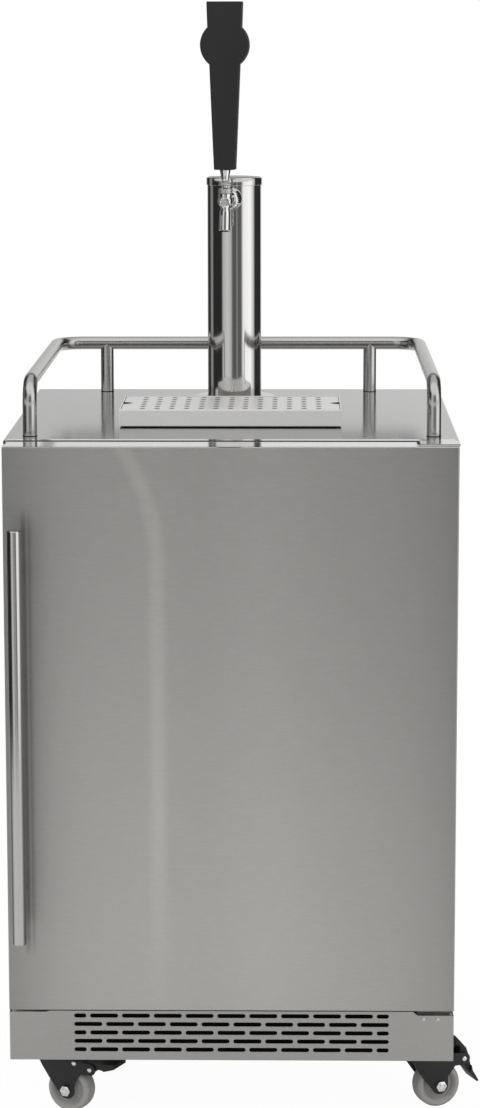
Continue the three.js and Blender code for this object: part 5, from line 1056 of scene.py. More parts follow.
@dataclass
class Tower:
    """Flange, column and cap."""

    shop: Workshop
    x: float = -1.8
    y: float = 407.0
    radius: float = 38.0
    wall: float = 1.5
    base: float = 922.3
    flange_radius: float = 60.0
    flange_height: float = 18.7
    flange_round: float = 8.0
    seat: float = 4.0
    cap_bottom: float = 1238.5
    cap_top: float = 1251.0
    cap_radius: float = 39.3
    cap_round: float = 1.6
    overlap: float = 8.0
    hole: float = 24.0
    steps: int = 96

    def build(self) -> None:
        """Makes the flange, the column and the cap."""
        base, rim, top = self.base, self.flange_radius, self.base + self.flange_height
        low, curve, bore = base + self.seat, self.flange_round, self.radius + 0.4
        flange = [(self.hole, base), (rim, base), (rim, top - curve)]
        flange += spots(rim - curve, top - curve, curve, (0.26, 0.52, 0.79, 1.05, 1.31))
        flange += [(rim - curve, top), (bore, top), (bore, low), (self.hole, low)]
        edge, bottom, crown = self.cap_radius, self.cap_bottom, self.cap_top
        column = rectangle(self.radius - self.wall, self.radius, low + SEAT_GAP, bottom + self.overlap)
        bore, curve = self.radius + SEAT_GAP, self.cap_round
        cap = [(bore, bottom), (edge - 0.3, bottom), (edge, bottom + 0.4), (edge, crown - 3.2)]
        cap += spots(edge - curve, crown - 3.2, curve, (0.4, 0.8, 1.2))
        cap += [(edge - 2.2, crown - 1.5), (edge - 2.2, crown - 4.0), (bore, crown - 4.0)]
        place = Matrix.Translation((self.x, self.y, 0))
        for name, node, profile in (
            ("tower_flange_ring", "tower_flange", flange), ("tower_column_tube", "tower_column", column),
            ("tower_cap_ring", "tower_cap", cap),
        ):
            made = Solid.turned(profile, self.steps, closed=True)
            self.shop.put(name, made, TOWER_STEEL, place=place, stands_for=[node])
        rim = edge - 2.3
        lid = [(0, crown - 3.8), (rim, crown - 3.8), (rim, crown - 1.9), (rim - 0.6, crown - 1.5)]
        lid += [(edge * 0.6, crown - 0.5), (0, crown)]
        self.shop.put("tower_cap_lid", Solid.turned(lid, self.steps), CAP_STEEL, place=place)


@dataclass
class Faucet:
    """The tap: shank, coupling nut, body, bonnet, lever, plunger and the plain handle."""

    shop: Workshop
    x: float = -1.8
    y: float = 407.0
    z: float = 1221.0
    turn: float = -6.1
    reach: float = 100.0
    face: float = 38.3
    pivot: float = 12.0
    ball: float = 10.3
    plug_reach: float = 16.0
    plug_drop: float = 1.5
    spout_rake: float = 13.0
    spout_drop: float = 41.0
    lever_ball: float = 7.0
    handle_base: float = 30.8
    handle_height: float = 228.0
    handle_thick: float = 22.0
    foot: float = 12.9
    foot_round: float = 1.6
    disc: float = 33.2
    disc_drop: float = 58.7
    neck: float = 20.5
    head: float = 24.3
    steps: int = 56

    def fit(
        self, name: str, solid: Solid, finish: Finish, *stands_for: str, body: str = "cabinet",
        crease: float = PLAIN_CREASE,
    ) -> None:
        """Puts a piece in the faucet's frame, or on the tap's joint in the frame of the lever's ball.

        Args:
            name: The piece's name.
            solid: Its mesh.
            finish: Its finish.
            stands_for: The CAD node that it stands for.
            body: The body that it rides on.
            crease: The angle in degrees up to which faces are smoothed together.
        """
        place = Matrix.Translation((self.x, self.y, self.z)) @ about("Z", self.turn)
        if body == "tap":
            place = place @ Matrix.Translation((0, -self.reach, self.pivot))
        self.shop.put(name, solid, finish, body, place, stands_for, crease)

    def knurl(self, radius: float, low: float, high: float, bore: float, ridges: int, depth: float) -> Solid:
        """Makes a knurled ring about +Z.

        Args:
            radius: Over the ridges.
            low: Its underside.
            high: Its top.
            bore: Radius of its hole.
            ridges: How many ridges.
            depth: Their depth.

        Returns:
            The ring.
        """
        edge = min(0.9, (high - low) / 4)
        inner = radius - depth
        profile = [(bore, low), (inner - edge, low), (inner, low + edge), (inner, high - edge)]
        profile += [(inner - edge, high), (bore, high)]
        made = Solid.turned(profile, ridges * 2, closed=True)
        rim = [v for v in made.bm.verts if abs(v.co.xy.length - inner) < 1e-2]
        crests = [v for v in rim if round(math.atan2(v.co.y, v.co.x) * ridges / math.pi) % 2 == 0]
        grow = radius / inner
        bmesh.ops.scale(made.bm, vec=(grow, grow, 1.0), verts=crests)
        return made

    def build(self) -> None:
        """Makes every piece of the tap."""
        self.shank_and_nut()
        self.body()
        self.lever()
        self.handle()
        self.plunger()

    def shank_and_nut(self) -> None:
        """Makes the bell collar with its shank, and the coupling nut."""
        face = self.face
        shank = [
            (0, 9.5), (6, 9.5), (6, 26), (14, 26), (14, 33.5), (10.7, 33.5), (10.7, face), (15.6, face),
            (16, face + 0.5), (16, face + 4.2), (15.3, face + 6.2), (13.6, face + 9.4), (12.6, face + 12),
            (12.1, face + 14), (10.7, face + 14), (10.7, face + 23), (0, face + 23),
        ]
        self.fit("shank_collar", Solid.turned(shank, 72, Turn.FORWARD), CHROME, "beer_shank")
        low = face + 14.3
        nut = self.knurl(14.0, low, low + 19.6, 11.0, 30, 0.9).moved(Turn.FORWARD.value)
        self.fit("coupling_nut_ring", nut, CHROME, "faucet_nut", crease=KNURL_CREASE)

    def body(self) -> None:
        """Makes the faucet's barrel, front plug, neck and spout, the plug's disc and the bonnet."""
        reach = self.reach
        barrel = [(0, 61.6), (10.6, 61.6), (10.6, 71.6), (8, 71.6), (8, 80), (7.6, 90)]
        heights = (-7, -5.5, -4, -2, 0, 2, 4, 5.5, 7, 8.2)
        barrel += [(math.sqrt(self.ball ** 2 - h * h), reach + h) for h in heights]
        made = Solid.turned(barrel + [(0, reach + 8.2)], self.steps, Turn.FORWARD)
        front = reach + self.plug_reach
        plug = [
            (0, reach), (5.6, reach), (5.6, front - 7), (6.3, front - 6), (6.3, front - 1),
            (5.9, front - 0.3), (5.2, front), (4.6, front - 0.3), (4.4, front - 1.6), (0, front - 1.6),
        ]
        made.with_(Solid.turned(plug, self.steps, Turn.FORWARD).at(0, 0, -self.plug_drop))
        neck = [(0, -4), (8.4, -4), (8.4, 4), (9.3, 6.5), (9.3, 9.7), (7.3, 9.7), (7.3, 4.8), (0, 4.8)]
        made.with_(Solid.turned(neck, self.steps).at(0, -reach, 0))
        length = self.spout_drop / math.cos(math.radians(self.spout_rake))
        spout = [
            (0, 0), (8.2, 0), (7.6, 6), (6.4, 10), (6.5, 12.5), (7.5, 16), (7.6, 22), (7.6, 33),
            (7.8, length - 0.6), (7.4, length), (6.3, length), (6.0, length - 12), (5.2, length - 20),
            (0, length - 20),
        ]
        spout = Solid.turned(scaled(spout, 1, -1), self.steps).moved(about("X", -self.spout_rake))
        made.with_(spout.at(0, -reach, 0))
        self.fit("faucet_casting", made, CHROME, "faucet_body")
        disc = [(0, -1.4), (3.9, -1.4), (3.9, -0.6), (3.5, -0.2), (0, -0.1)]
        disc = Solid.turned(disc, self.steps, Turn.FORWARD).at(0, -front, -self.plug_drop)
        self.fit("plug_disc", disc, WORN_CHROME)
        ring = self.knurl(9.8, 10.0, 17.0, 7.4, 60, 0.12).at(0, -reach, 0)
        self.fit("bonnet_ring", ring, WORN_CHROME, "faucet_bonnet", crease=KNURL_CREASE)

    def lever(self) -> None:
        """Makes the lever with its ball, its knurled collar and the ferrule above."""
        ball = [(self.lever_ball * math.sin(a), -self.lever_ball * math.cos(a))
                for a in [0.2 + 2.5 * step / 14 for step in range(15)]]
        lever = [(0, -13), (1.1, -13), (1.4, -12.6)] + ball + [(3.0, 7.2), (3.0, 9.8), (0, 9.8)]
        self.fit("lever_ball", Solid.turned(lever, self.steps), CHROME, "faucet_lever", body="tap")
        collar = self.knurl(9.3, 8.9, 12.6, 2.9, 60, 0.12)
        dome = [(2.9, 12.5), (8.7, 12.5), (8.3, 13.1), (7.0, 13.8), (5.2, 14.2), (2.9, 14.3)]
        collar.with_(Solid.turned(dome, self.steps, closed=True))
        self.fit("lever_collar", collar, WORN_CHROME, body="tap", crease=KNURL_CREASE)
        ferrule = [(0, 14.5), (4.3, 14.5), (4.6, 15), (5.2, 18.6), (6.3, 24), (7.5, 29.3), (7.7, 30.2)]
        ferrule += [(7.4, 30.5), (0, 30.5)]
        self.fit("handle_ferrule", Solid.turned(ferrule, self.steps), CHROME, "tap_ferrule", body="tap")

    def handle(self) -> None:
        """Makes the plain paddle that widens upward into a disc and a short head."""
        base, foot, curve, disc = self.handle_base, self.foot, self.foot_round, self.disc
        top, half = base + self.handle_height, self.handle_thick / 2
        middle = top - self.disc_drop
        low = math.degrees(math.acos(self.neck / disc))
        high = math.degrees(math.acos(self.head * 0.95 / disc))
        outline = [(-foot, base), (foot, base)] + arc(foot, base + curve, curve, -60, 0, 3)
        outline += arc(0, middle, disc, -low, high, 26) + [(self.head, top), (-self.head, top)]
        outline += arc(0, middle, disc, 180 - high, 180 + low, 26)
        outline += arc(-foot, base + curve, curve, 180, 240, 3)
        made = Solid.plate(outline, -half, half, Turn.FORWARD, edge=1.5, segments=3)
        self.fit("tap_handle_paddle", made, HANDLE_PLASTIC, "tap_handle", body="tap")

    def plunger(self) -> None:
        """Makes the rod inside the faucet."""
        low, high = self.reach - 6, self.reach + 6
        rod = [(0, 75.0), (3.9, 75.0), (3.9, 78.0), (2.6, 78.0), (2.6, low)]
        made = Solid.turned(rod + [(3.5, low), (3.5, high), (0, high)], 32, Turn.FORWARD)
        self.fit("plunger_rod", made, ZINC, "faucet_plunger", body="plunger")


@dataclass
class DripTray:
    """The tray on its pad, and the perforated grid that lies in it."""

    shop: Workshop
    x: float = -3.6
    half: float = 150.5
    front: float = 184.0
    rear: float = 343.0
    bottom: float = 925.3
    grid_top: float = 946.05
    sheet: float = 1.5
    inset: float = 2.3
    flange: float = 9.0
    hole: float = 4.1
    spacing: Pair = (20.0, 21.0)
    counts: tuple[int, int] = (13, 7)
    hem_inset: float = 0.4
    hem_drop: float = 1.4

    NOTCH: ClassVar[tuple[Pair, ...]] = ((0, 12.5), (6, 8.5), (11, 3.5), (14, 0))

    def build(self) -> None:
        """Dresses the tray and makes the grid."""
        self.shop.dress(TRAY_STEEL, "drip_tray")
        self.shop.dress(BLACK_PLASTIC, "tray_pad")
        side, low, high = self.half - self.inset, self.front + self.inset, self.rear - self.inset
        middle, top, wall = (low + high) / 2, self.grid_top, self.sheet
        right = [(side - u, middle - v) for u, v in self.NOTCH]
        right += [(u, 2 * middle - v) for u, v in reversed(right[:-1])]
        outline = [(-side, low), (side, low)] + right + [(side, high), (-side, high)]
        outline += [(-u, v) for u, v in reversed(right)]
        (columns, rows), (across, along) = self.counts, self.spacing
        steps_x = [(column - (columns - 1) / 2) * across for column in range(columns)]
        steps_y = [middle + (row - (rows - 1) / 2) * along for row in range(rows)]
        holes = [ring_points(self.hole, 20, x, y) for y in steps_y for x in steps_x]
        grid = Solid.plate(outline, top - wall, top, holes=holes)
        drop, notch = top - wall - self.flange, self.NOTCH[0][1]
        for x in (-side, side - wall):
            for y0, y1 in ((low, middle - notch), (middle + notch, high)):
                grid.with_(Solid.block((x, y0, drop), (x + wall, y1, top - wall), FOLD_EDGE))
        for y in (low, high - wall):
            grid.with_(Solid.block((-side, y, drop), (side, y + wall, top - wall), FOLD_EDGE))
        place = Matrix.Translation((self.x, 0, 0))
        self.shop.put("drip_grid_plate", grid, GRID_STEEL, "grid", place, ["drip_grid"], SHEET_CREASE)
        self.hem(place)

    def hem(self, place: Matrix) -> None:
        """Makes the folded hem round the tray's underside.

        Args:
            place: The tray's place in the cabinet frame.
        """
        loops = []
        for inset in (self.hem_inset, self.hem_inset + self.sheet):
            half = self.half - inset
            loops.append(rectangle(-half, half, self.front + inset, self.rear - inset))
        made = Solid.plate(loops[0], self.bottom - self.hem_drop, self.bottom, holes=loops[1:])
        self.shop.put("tray_hem", made, TRAY_STEEL, "tray", place)


@dataclass
class KickPanel:
    """The slotted front panel under the door, its returns, tabs and screws."""

    shop: Workshop
    half: float = 297.0
    bottom: float = 91.0
    top: float = 159.2
    sheet: float = 1.5
    notch: float = 48.0
    notch_run: float = 6.5
    left_drop: float = 1.4
    right_drop: float = 5.4
    fold: float = 28.0
    lip: float = 8.0
    slot: Pair = (37.6, 5.7)
    gap: float = 5.0
    pitch: float = 11.75
    margin: float = 6.6
    per_row: int = 10
    rows: int = 5
    tab: Triple = (13.5, 45.7, 12.0)
    tab_low: float = 104.0
    screws: Pair = (256.4, 275.8)
    screw_z: float = 148.6
    shade_sheet_half: float = 213.5
    shade_sheet_heights: Pair = (94.0, 157.0)
    shade_sheet_thick: float = 0.8

    def slots(self) -> list[list[Pair]]:
        """The staggered rows of round-ended slots."""
        length, height = self.slot
        start = -(self.per_row * length + (self.per_row - 1) * self.gap) / 2
        short, radius = (length - self.gap) / 2, height / 2
        made = []
        for row in range(self.rows):
            z = self.top - self.margin - row * self.pitch
            staggered = row % 2 == 0
            count = self.per_row + 1 if staggered else self.per_row
            x = start
            for index in range(count):
                run = short if staggered and index in (0, count - 1) else length
                ends = arc(x + radius, z, radius, 90, 270, 8), arc(x + run - radius, z, radius, -90, 90, 8)
                made.append(ends[0] + ends[1])
                x += run + self.gap
        return made

    def build(self) -> None:
        """Makes the panel, a black sheet behind its slots as painted shade, and its screws."""
        half, low, top, sheet = self.half, self.bottom, self.top, self.sheet
        notch, eased, plain = half - self.notch, top - self.left_drop, top - self.right_drop
        inner = notch - self.notch_run
        face = [(-half, low), (half, low), (half, plain), (notch, plain), (inner, top), (-inner, top)]
        face += [(-notch, eased), (-half, eased)]
        panel = Solid.plate(face, -sheet, 0, Turn.FORWARD, holes=self.slots())
        for x0, x1, height in ((-half, -half + sheet, eased), (half - sheet, half, plain)):
            panel.with_(Solid.block((x0, 0.2, low), (x1, self.fold, height), FOLD_EDGE))
        panel.with_(Solid.block((-half, 0.2, low), (half, self.lip, low + sheet), FOLD_EDGE))
        width, depth, height = self.tab
        for x in (-self.shade_sheet_half - SEAT_GAP - width, self.shade_sheet_half + SEAT_GAP):
            corner = (x + width, depth, self.tab_low + height)
            panel.with_(Solid.block((x, sheet / 2, self.tab_low), corner, FOLD_EDGE))
        self.shop.put("kick_panel_sheet", panel, KICK_STEEL, stands_for=["kick_panel"], crease=SHEET_CREASE)
        # A black sheet behind the slots, where there is only shade inside the cabinet: painted shade.
        back, side = sheet + SEAT_GAP, self.shade_sheet_half
        low, high = self.shade_sheet_heights
        shade_sheet = Solid.block((-side, back, low), (side, back + self.shade_sheet_thick, high))
        self.shop.put("kick_slot_shade_sheet", shade_sheet, SLOT_SHADE_BLACK)
        screws = Solid()
        head = [(0, 0.0), (2.6, 0.0), (2.5, 0.7), (1.8, 1.3), (0.9, 1.55), (0, 1.6)]
        for x in self.screws:
            screws.with_(Solid.turned(head, 24, Turn.FORWARD).at(x, -0.05, self.screw_z))
        self.shop.put("kick_screws", screws, ZINC)


@dataclass
class Door:
    """Door shell, foam, liner and gasket, with a fine bar handle."""

    shop: Workshop
    bar_x: float = -277.55
    bar_y: float = -55.0
    bar_low: float = 267.5
    bar_high: float = 818.5
    bar_radius: float = 9.5
    post_radius: float = 6.0
    post_inset: float = 64.0
    post_overlap: float = 5.0

    def build(self) -> None:
        """Dresses the door's CAD pieces and makes its handle."""
        self.shop.dress(DOOR_STEEL, "door_panel")
        self.shop.dress(FOAM, "door_foam")
        self.shop.dress(WHITE_PLASTIC, "door_liner")
        self.shop.dress(SEAL, "door_gasket")
        r, low, high = self.bar_radius, self.bar_low, self.bar_high
        bar = [(0, low), (r - 1.2, low), (r - 0.5, low + 0.25), (r, low + 1.0), (r, high - 1.0)]
        bar += [(r - 0.5, high - 0.25), (r - 1.2, high), (0, high)]
        made = Solid.turned(bar, 64).at(self.bar_x, self.bar_y, 0)
        self.shop.put("door_handle_bar", made, BAR_STEEL, "door", stands_for=["handle_bar"])
        post = rectangle(0, self.post_radius, SEAT_GAP, -self.bar_y - self.post_overlap)
        for name, z in (("upper", high - self.post_inset), ("lower", low + self.post_inset)):
            made = Solid.turned(post, 40, Turn.FORWARD).at(self.bar_x, 0, z)
            node = f"handle_post_{name}"
            self.shop.put(f"door_{node}", made, RAIL_STEEL, "door", stands_for=[node])


@dataclass(frozen=True)
class PedalShape:
    """A brake pedal's outline, by share of its reach from the pin.

    Attributes:
        blade: The blade's corners.
        top: The two corners above the pin.
        pad: The wider tread's corners.
    """

    blade: tuple[Pair, ...]
    top: tuple[Pair, ...]
    pad: tuple[Pair, ...]


@dataclass
class Caster:
    """One swivel caster: fork, axle, wheel and, where it is braked, its pedal.

    Attributes:
        label: Its place, as its bodies and nodes are named.
        x: Its stem along x.
        y: Its stem along y.
        turn: How far it has swivelled, in degrees.
        raised: Whether its pedal is raised, or None where it has no brake.
    """

    shop: Workshop
    label: str
    x: float
    y: float
    turn: float
    raised: Optional[bool]
    trail: float = 32.0
    axle: float = 31.5
    crown_under: float = 80.0
    crown_top: float = 84.0
    crown_radius: float = 23.0
    inner: float = 13.5
    plate: float = 2.5
    boss: float = 12.0
    pin: Pair = (68.0, 65.5)
    arm: float = 8.5
    reach: float = 39.0
    blade_half: float = 18.0
    raise_angle: float = -55.0
    rim: float = 31.5
    wheel_half: float = 12.5

    EAR: ClassVar[tuple[Pair, ...]] = (
        (-0.3, 0.83), (-0.37, 0.78), (-0.3, 0.53), (-0.12, 0.42), (-0.16, 0.12), (-0.15, -0.12),
    )
    LOWERED: ClassVar[PedalShape] = PedalShape(
        ((0.12, -0.24), (0.16, -0.46), (0.47, -0.88), (0.54, -0.84), (0.31, -0.45), (0.24, -0.1)),
        ((0.18, 0.15), (0.1, 0.37)),
        ((0.27, -0.25), (0.31, -0.45), (0.54, -0.84), (0.47, -0.88), (0.2, -0.5)),
    )
    RAISED: ClassVar[PedalShape] = PedalShape(
        ((0.18, -0.2), (0.28, -0.4), (0.69, -0.72), (0.82, -0.61), (0.56, -0.25), (0.36, 0.04)),
        ((0.13, 0.19), (0.0, 0.38)),
        ((0.4, -0.2), (0.56, -0.25), (0.82, -0.61), (0.69, -0.72), (0.34, -0.45)),
    )

    def fork_place(self) -> Matrix:
        """The fork's frame within the cabinet's."""
        return Matrix.Translation((self.x, self.y, 0)) @ about("Z", self.turn)

    def fit(
        self, name: str, solid: Solid, finish: Finish, body: str, node: str = "",
        place: Optional[Matrix] = None, crease: float = PLAIN_CREASE,
    ) -> None:
        """Puts a piece in place, with the caster's label after each name.

        Args:
            name: The piece's name.
            solid: Its mesh.
            finish: Its finish.
            body: The body that it rides on.
            node: The CAD node that it stands for.
            place: A transform within the fork's frame.
            crease: The angle in degrees up to which faces are smoothed together.
        """
        name, body, node = (f"{word}_{self.label}" if word else "" for word in (name, body, node))
        spot = self.fork_place() @ (place or Matrix.Identity(4))
        self.shop.put(name, solid, finish, body, spot, [node] if node else [], crease)

    def build(self) -> None:
        """Makes the caster's pieces."""
        self.fork()
        self.bolt()
        self.rivets()
        self.wheel()
        if self.raised is not None:
            self.pedal(self.RAISED if self.raised else self.LOWERED)

    def side(self) -> list[Pair]:
        """The outline of one fork plate, seen from the side."""
        trail, top, boss = self.trail, self.crown_top, self.boss
        shares = ((-0.69, 1), (-0.66, 0.93), (-0.41, 0.9), (-0.16, 0.73), (0.22, 0.525), (0.51, 0.39))
        made = scaled(shares, trail, top) + arc(trail, self.axle, boss, 216, 360, 14)
        if self.raised is None:
            return made + scaled(((1.42, 0.45), (1.3, 0.78), (0.69, 1)), trail, top)
        x, z = self.pin
        made += [(trail + boss, self.axle + boss), (x - 1.6 * self.arm, z - self.arm)]
        made += arc(x, z, self.arm, -90, 90, 12)
        return made + [(trail + boss, z + 1.2 * self.arm), (trail * 0.69, top)]

    def fork(self) -> None:
        """Makes the fork with its crown."""
        outer, low, high, rim = self.inner + self.plate, self.crown_under, self.crown_top, self.crown_radius
        made = Solid()
        for near in (-outer, self.inner):
            made.with_(Solid.plate(self.side(), -near - self.plate, -near, Turn.FORWARD, edge=0.6))
        along = 0.69 * self.trail
        made.with_(Solid.block((-along, -outer, low), (along, outer, high), 1.0))
        crown = [(0, low), (rim - 1.5, low), (rim, low + 1.2), (rim, high - 0.6), (rim - 0.6, high)]
        made.with_(Solid.turned(crown + [(0, high)], 48))
        self.fit("fork", made, BLACK_PAINT, "caster", "caster_fork")

    def bolt(self) -> None:
        """Makes the axle with the nut, collar and stud at each end."""
        near = self.inner + self.plate + SEAT_GAP
        collar = [(0, 0), (5.2, 0), (5.2, 5.2), (4.6, 5.4), (4.2, 4.8), (0, 4.8)]
        stud = [(0, 0), (3.4, 0), (3.4, 5.6), (2.9, 6), (0, 6)]
        made = Solid()
        for turn in (Turn.FORWARD, Turn.BACKWARD):
            nut = Solid.plate(ring_points(8.0, 6), 0, 4.6, edge=0.9)
            nut.with_(Solid.turned(collar, 36), Solid.turned(stud, 28))
            made.with_(nut.at(0, 0, near).moved(turn.value).at(self.trail, 0, self.axle))
        spindle = Solid.turned(rectangle(0, 4, -near, near), 28, Turn.FORWARD)
        made.with_(spindle.at(self.trail, 0, self.axle))
        self.fit("axle_bolt", made, BOLT_STEEL, "caster", "caster_axle")

    def rivets(self) -> None:
        """Makes the bright rivet heads on both fork plates."""
        dome = [(0, -0.4), (3.4, -0.4), (3.3, 0.5), (2.4, 1.3), (1.2, 1.7), (0, 1.8)]
        dome = [(r, self.inner + self.plate + h) for r, h in dome]
        places = [(self.trail * 1.1, self.crown_top - 9)]
        if self.raised is not None:
            places = [self.pin, (self.pin[0] - 24, self.pin[1] + 6)]
        heads = Solid()
        for x, z in places:
            for turn in (Turn.FORWARD, Turn.BACKWARD):
                heads.with_(Solid.turned(dome, 24, turn).at(x, 0, z))
        self.fit("rivets", heads, BOLT_STEEL, "caster")

    def wheel(self) -> None:
        """Makes the hub and the lighter tyre."""
        place = Matrix.Translation((self.trail, 0, self.axle))
        tread = [(23.4, -11.2), (24.6, -12.3), (26, -self.wheel_half), (28.2, -12.2), (30.2, -10.6)]
        tread += [(31.2, -8.0), (self.rim, -5)]
        hub = [(4.6, -10.5), (9.5, -10.5), (10.2, -9.8), (12.2, -7.6), (19, -7.2), (21.4, -9.8)]
        hub += [(22.4, -11.0), (23.6, -11.2)]
        for name, half, finish, node in (("tyre", tread, TYRE, "caster_wheel"), ("hub", hub, HUB, "")):
            profile = half + scaled(reversed(half), 1, -1)
            made = Solid.turned(profile, 96, Turn.FORWARD, closed=True)
            self.fit(name, made, finish, "wheel", node, place, WHEEL_CREASE)

    def pedal(self, shape: PedalShape) -> None:
        """Makes the brake pedal with its ear and blade.

        Args:
            shape: Its outline.
        """
        made = Solid()
        web = (*self.EAR, *shape.blade, *shape.top)
        for outline, half in ((web, self.inner - SEAT_GAP), (shape.pad, self.blade_half)):
            outline = scaled(outline, self.reach, self.reach)
            made.with_(Solid.plate(outline, -half, half, Turn.FORWARD, edge=0.8))
        place = Matrix.Translation((self.pin[0], 0, self.pin[1]))
        place = place @ about("Y", self.raise_angle if self.raised else 0.0)
        self.fit("pedal", made, BLACK_PAINT, "pedal", "brake_pedal", place)


@dataclass
class Cabinet:
    """The shell, the foam, the liner and the hinges, which keep their CAD shapes."""

    shop: Workshop

    def build(self) -> None:
        """Dresses the shell's pieces."""
        self.shop.dress(TOP_STEEL, "worktop")
        self.shop.dress(SHELL_STEEL, "side_panel_left", "side_panel_right", "rear_panel")
        self.shop.dress(PAN_STEEL, "base_pan")
        self.shop.dress(FOAM, "insulation")
        self.shop.dress(WHITE_PLASTIC, "liner")
        self.shop.dress(HINGE_STEEL, "top_hinge", "bottom_hinge")


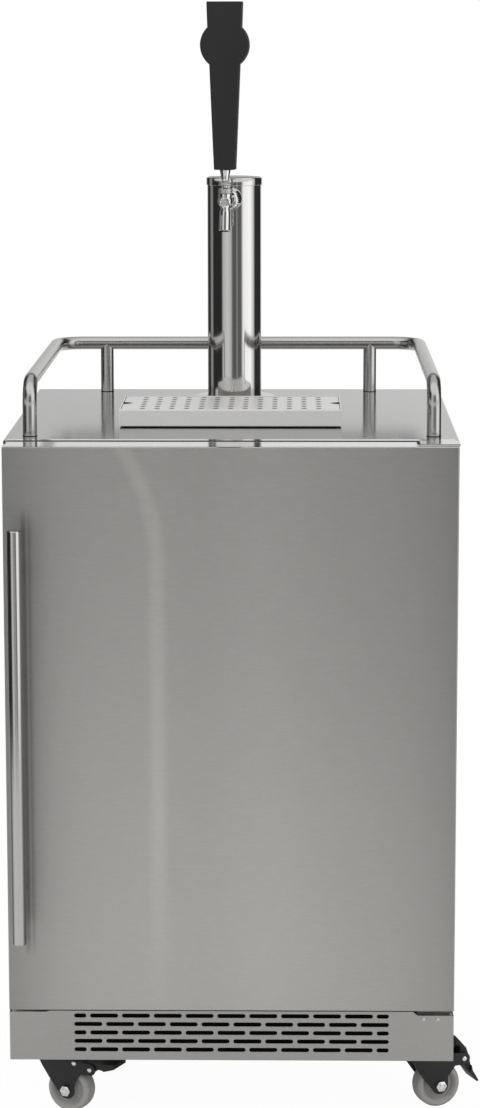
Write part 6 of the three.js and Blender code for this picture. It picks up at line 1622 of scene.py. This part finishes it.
@dataclass
class Machinery:
    """Cooling, gas and keg fittings inside the cabinet."""

    shop: Workshop
    keg_floor: float = 320.3
    cylinder: Pair = (-178.0, 524.2)
    cylinder_radius: float = 66.5
    cylinder_top: float = 700.3
    shoulder: float = 36.6
    neck: float = 16.5
    neck_top: float = 710.2
    boot: Pair = (3.4, 35.0)
    dial: Triple = (-69.8, 487.2, 728.5)
    dial_radius: float = 20.0
    needle: float = -55.0
    guard: Triple = (75.0, 529.7, 767.9)
    guard_radius: float = 54.0
    guard_rings: tuple[float, ...] = (14.0, 22.5, 31.0, 39.5, 48.0, 54.0)
    wire: float = 0.9
    coupler: Pair = (130.0, 521.0)
    hex_radius: float = 23.5
    hex_bore: float = 17.4
    hex_heights: Pair = (337.0, 347.0)
    hose_radius: float = 4.8
    clamp_half: float = 3.5

    CLAMPS: ClassVar[tuple[tuple[Triple, Turn], ...]] = (
        ((-103.8, 524.2, 676.0), Turn.UP), ((90.0, 521.0, 366.3), Turn.SIDEWAYS),
        ((130.0, 521.0, 420.0), Turn.UP),
    )

    def build(self) -> None:
        """Dresses the fittings and makes the finer ones."""
        self.shop.dress(BLACK_PAINT, "compressor")
        self.shop.dress(DARK_STEEL, "condenser")
        self.shop.dress(WHITE_PLASTIC, "evaporator_cover")
        self.shop.dress(BLACK_PLASTIC, "evaporator_fan", "control_panel", "gas_valve_wheel")
        self.shop.dress(BLACK_PLASTIC, "regulator_knob", "coupler_handle")
        self.shop.dress(BRASS, "regulator")
        self.shop.dress(CHROME, "keg_coupler")
        self.shop.dress(RED_HOSE, "gas_hose")
        self.shop.dress(CLEAR_HOSE, "beer_line")
        self.gas_cylinder()
        self.gauge()
        self.fan_guard()
        self.coupler_ring()
        self.hose_clamps()

    def gas_cylinder(self) -> None:
        """Makes the gas cylinder and the rubber boot round its foot."""
        radius, low, high, rise = self.cylinder_radius, self.keg_floor, self.cylinder_top, self.shoulder
        shell = [(0, low), (radius - 4, low), (radius - 1, low + 1.5), (radius, low + 5)]
        for step in range(13):
            angle = step / 12 * math.pi / 2
            reach = self.neck + (radius - self.neck) * math.cos(angle)
            shell.append((reach, high - rise + rise * math.sin(angle)))
        shell += [(self.neck, self.neck_top - 1), (self.neck - 1, self.neck_top), (0, self.neck_top)]
        made = Solid.turned(shell, 96).at(*self.cylinder, 0)
        self.shop.put("gas_cylinder_shell", made, ALUMINIUM, stands_for=["gas_cylinder"])
        radius += SEAT_GAP
        rim, top = radius + self.boot[0], low + self.boot[1]
        profile = [(radius, low), (rim, low), (rim, top - 1), (rim - 0.8, top), (radius, top)]
        made = Solid.turned(profile, 72, closed=True).at(*self.cylinder, 0)
        self.shop.put("cylinder_boot", made, BLACK_PLASTIC)

    def gauge(self) -> None:
        """Makes the gauge's bezel, dial, tick marks and needle."""
        radius = self.dial_radius
        rim = radius + 0.9
        bezel = [(radius - 2.4, 0.2), (rim, 0.2), (rim, 1.6), (radius - 0.2, 2.6), (radius - 2.4, 2.2)]
        made = Solid.turned(bezel, 56, Turn.FORWARD, closed=True)
        self.shop.put("gauge_bezel", made.at(*self.dial), CHROME)
        face = Solid.turned(rectangle(0, radius - 2.5, 0.2, 0.7), 56, Turn.FORWARD)
        self.shop.put("gauge_dial", face.at(*self.dial), DIAL)
        marks = Solid.turned([(0, 0.8), (2.0, 0.8), (1.7, 1.9), (0, 2.0)], 24, Turn.FORWARD)
        for angle in range(-130, 131, 20):
            tick = Solid.block((-0.3, -1.15, radius - 6.5), (0.3, -0.75, radius - 3.6))
            marks.with_(tick.moved(about("Y", angle)))
        needle = Solid.block((-0.4, -1.5, -4.0), (0.4, -1.2, radius - 6.8))
        marks.with_(needle.moved(about("Y", self.needle)))
        self.shop.put("gauge_marks", marks.at(*self.dial), BLACK_PLASTIC)

    def fan_guard(self) -> None:
        """Makes the wire guard over the fan's opening."""
        wires = Solid()
        for radius in self.guard_rings:
            ring = arc(radius, 0.0, self.wire, 0, 330, 11)
            wires.with_(Solid.turned(ring, 64, Turn.FORWARD, closed=True))
        for angle in (45, 135):
            spoke = Solid.block((-self.guard_radius, -2.3, -1.1), (self.guard_radius, -1.3, 1.1), 0.3)
            wires.with_(spoke.moved(about("Y", angle)))
        self.shop.put("fan_guard", wires.at(*self.guard), ZINC)

    def coupler_ring(self) -> None:
        """Makes the coupler's hexagonal ring."""
        hole = ring_points(self.hex_bore, 40)
        made = Solid.plate(ring_points(self.hex_radius, 6), *self.hex_heights, holes=[hole], edge=0.6)
        self.shop.put("coupler_hex_ring", made.at(*self.coupler, 0), WORN_CHROME)

    def hose_clamps(self) -> None:
        """Makes the screw clamps at the hoses' ends."""
        bore = self.hose_radius + 0.2
        profile = rectangle(bore, bore + 1.1, -self.clamp_half, self.clamp_half)
        clamps = Solid()
        for place, turn in self.CLAMPS:
            band = Solid.turned(profile, 32, closed=True)
            band.with_(Solid.block((bore + 0.9, -2.6, -2.9), (bore + 4.2, 2.6, 2.9), 0.5))
            clamps.with_(band.moved(turn.value).at(*place))
        self.shop.put("hose_clamps", clamps, ZINC)


def cabinet_origin() -> Vector:
    """Works out where the cabinet frame's zero lies in the row frame."""
    low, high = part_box("worktop")
    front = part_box("door_panel")[0].y
    return Vector(((low.x + high.x) / 2, front, 0.0))


def main() -> None:
    """Builds the studio and every assembly in order."""
    logging.basicConfig(level=logging.INFO, format="%(name)s %(message)s")
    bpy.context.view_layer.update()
    shop = Workshop(cabinet_origin())
    Studio().build()
    for assembly in (Cabinet, BrightEdges, GuardRail, Tower, Faucet, DripTray, KickPanel, Door, Machinery):
        assembly(shop).build()
    stations = (
        ("front_left", -248.0, 75.0, -25.0, True), ("front_right", 248.0, 75.0, 22.0, False),
        ("rear_left", -248.0, 611.0, 12.0, None), ("rear_right", 248.0, 611.0, -14.0, None),
    )
    for label, x, y, turn, raised in stations:
        Caster(shop, label, x, y, turn, raised).build()
    bpy.context.scene.view_settings.view_transform = "Standard"


if __name__ == "__main__":
    main()
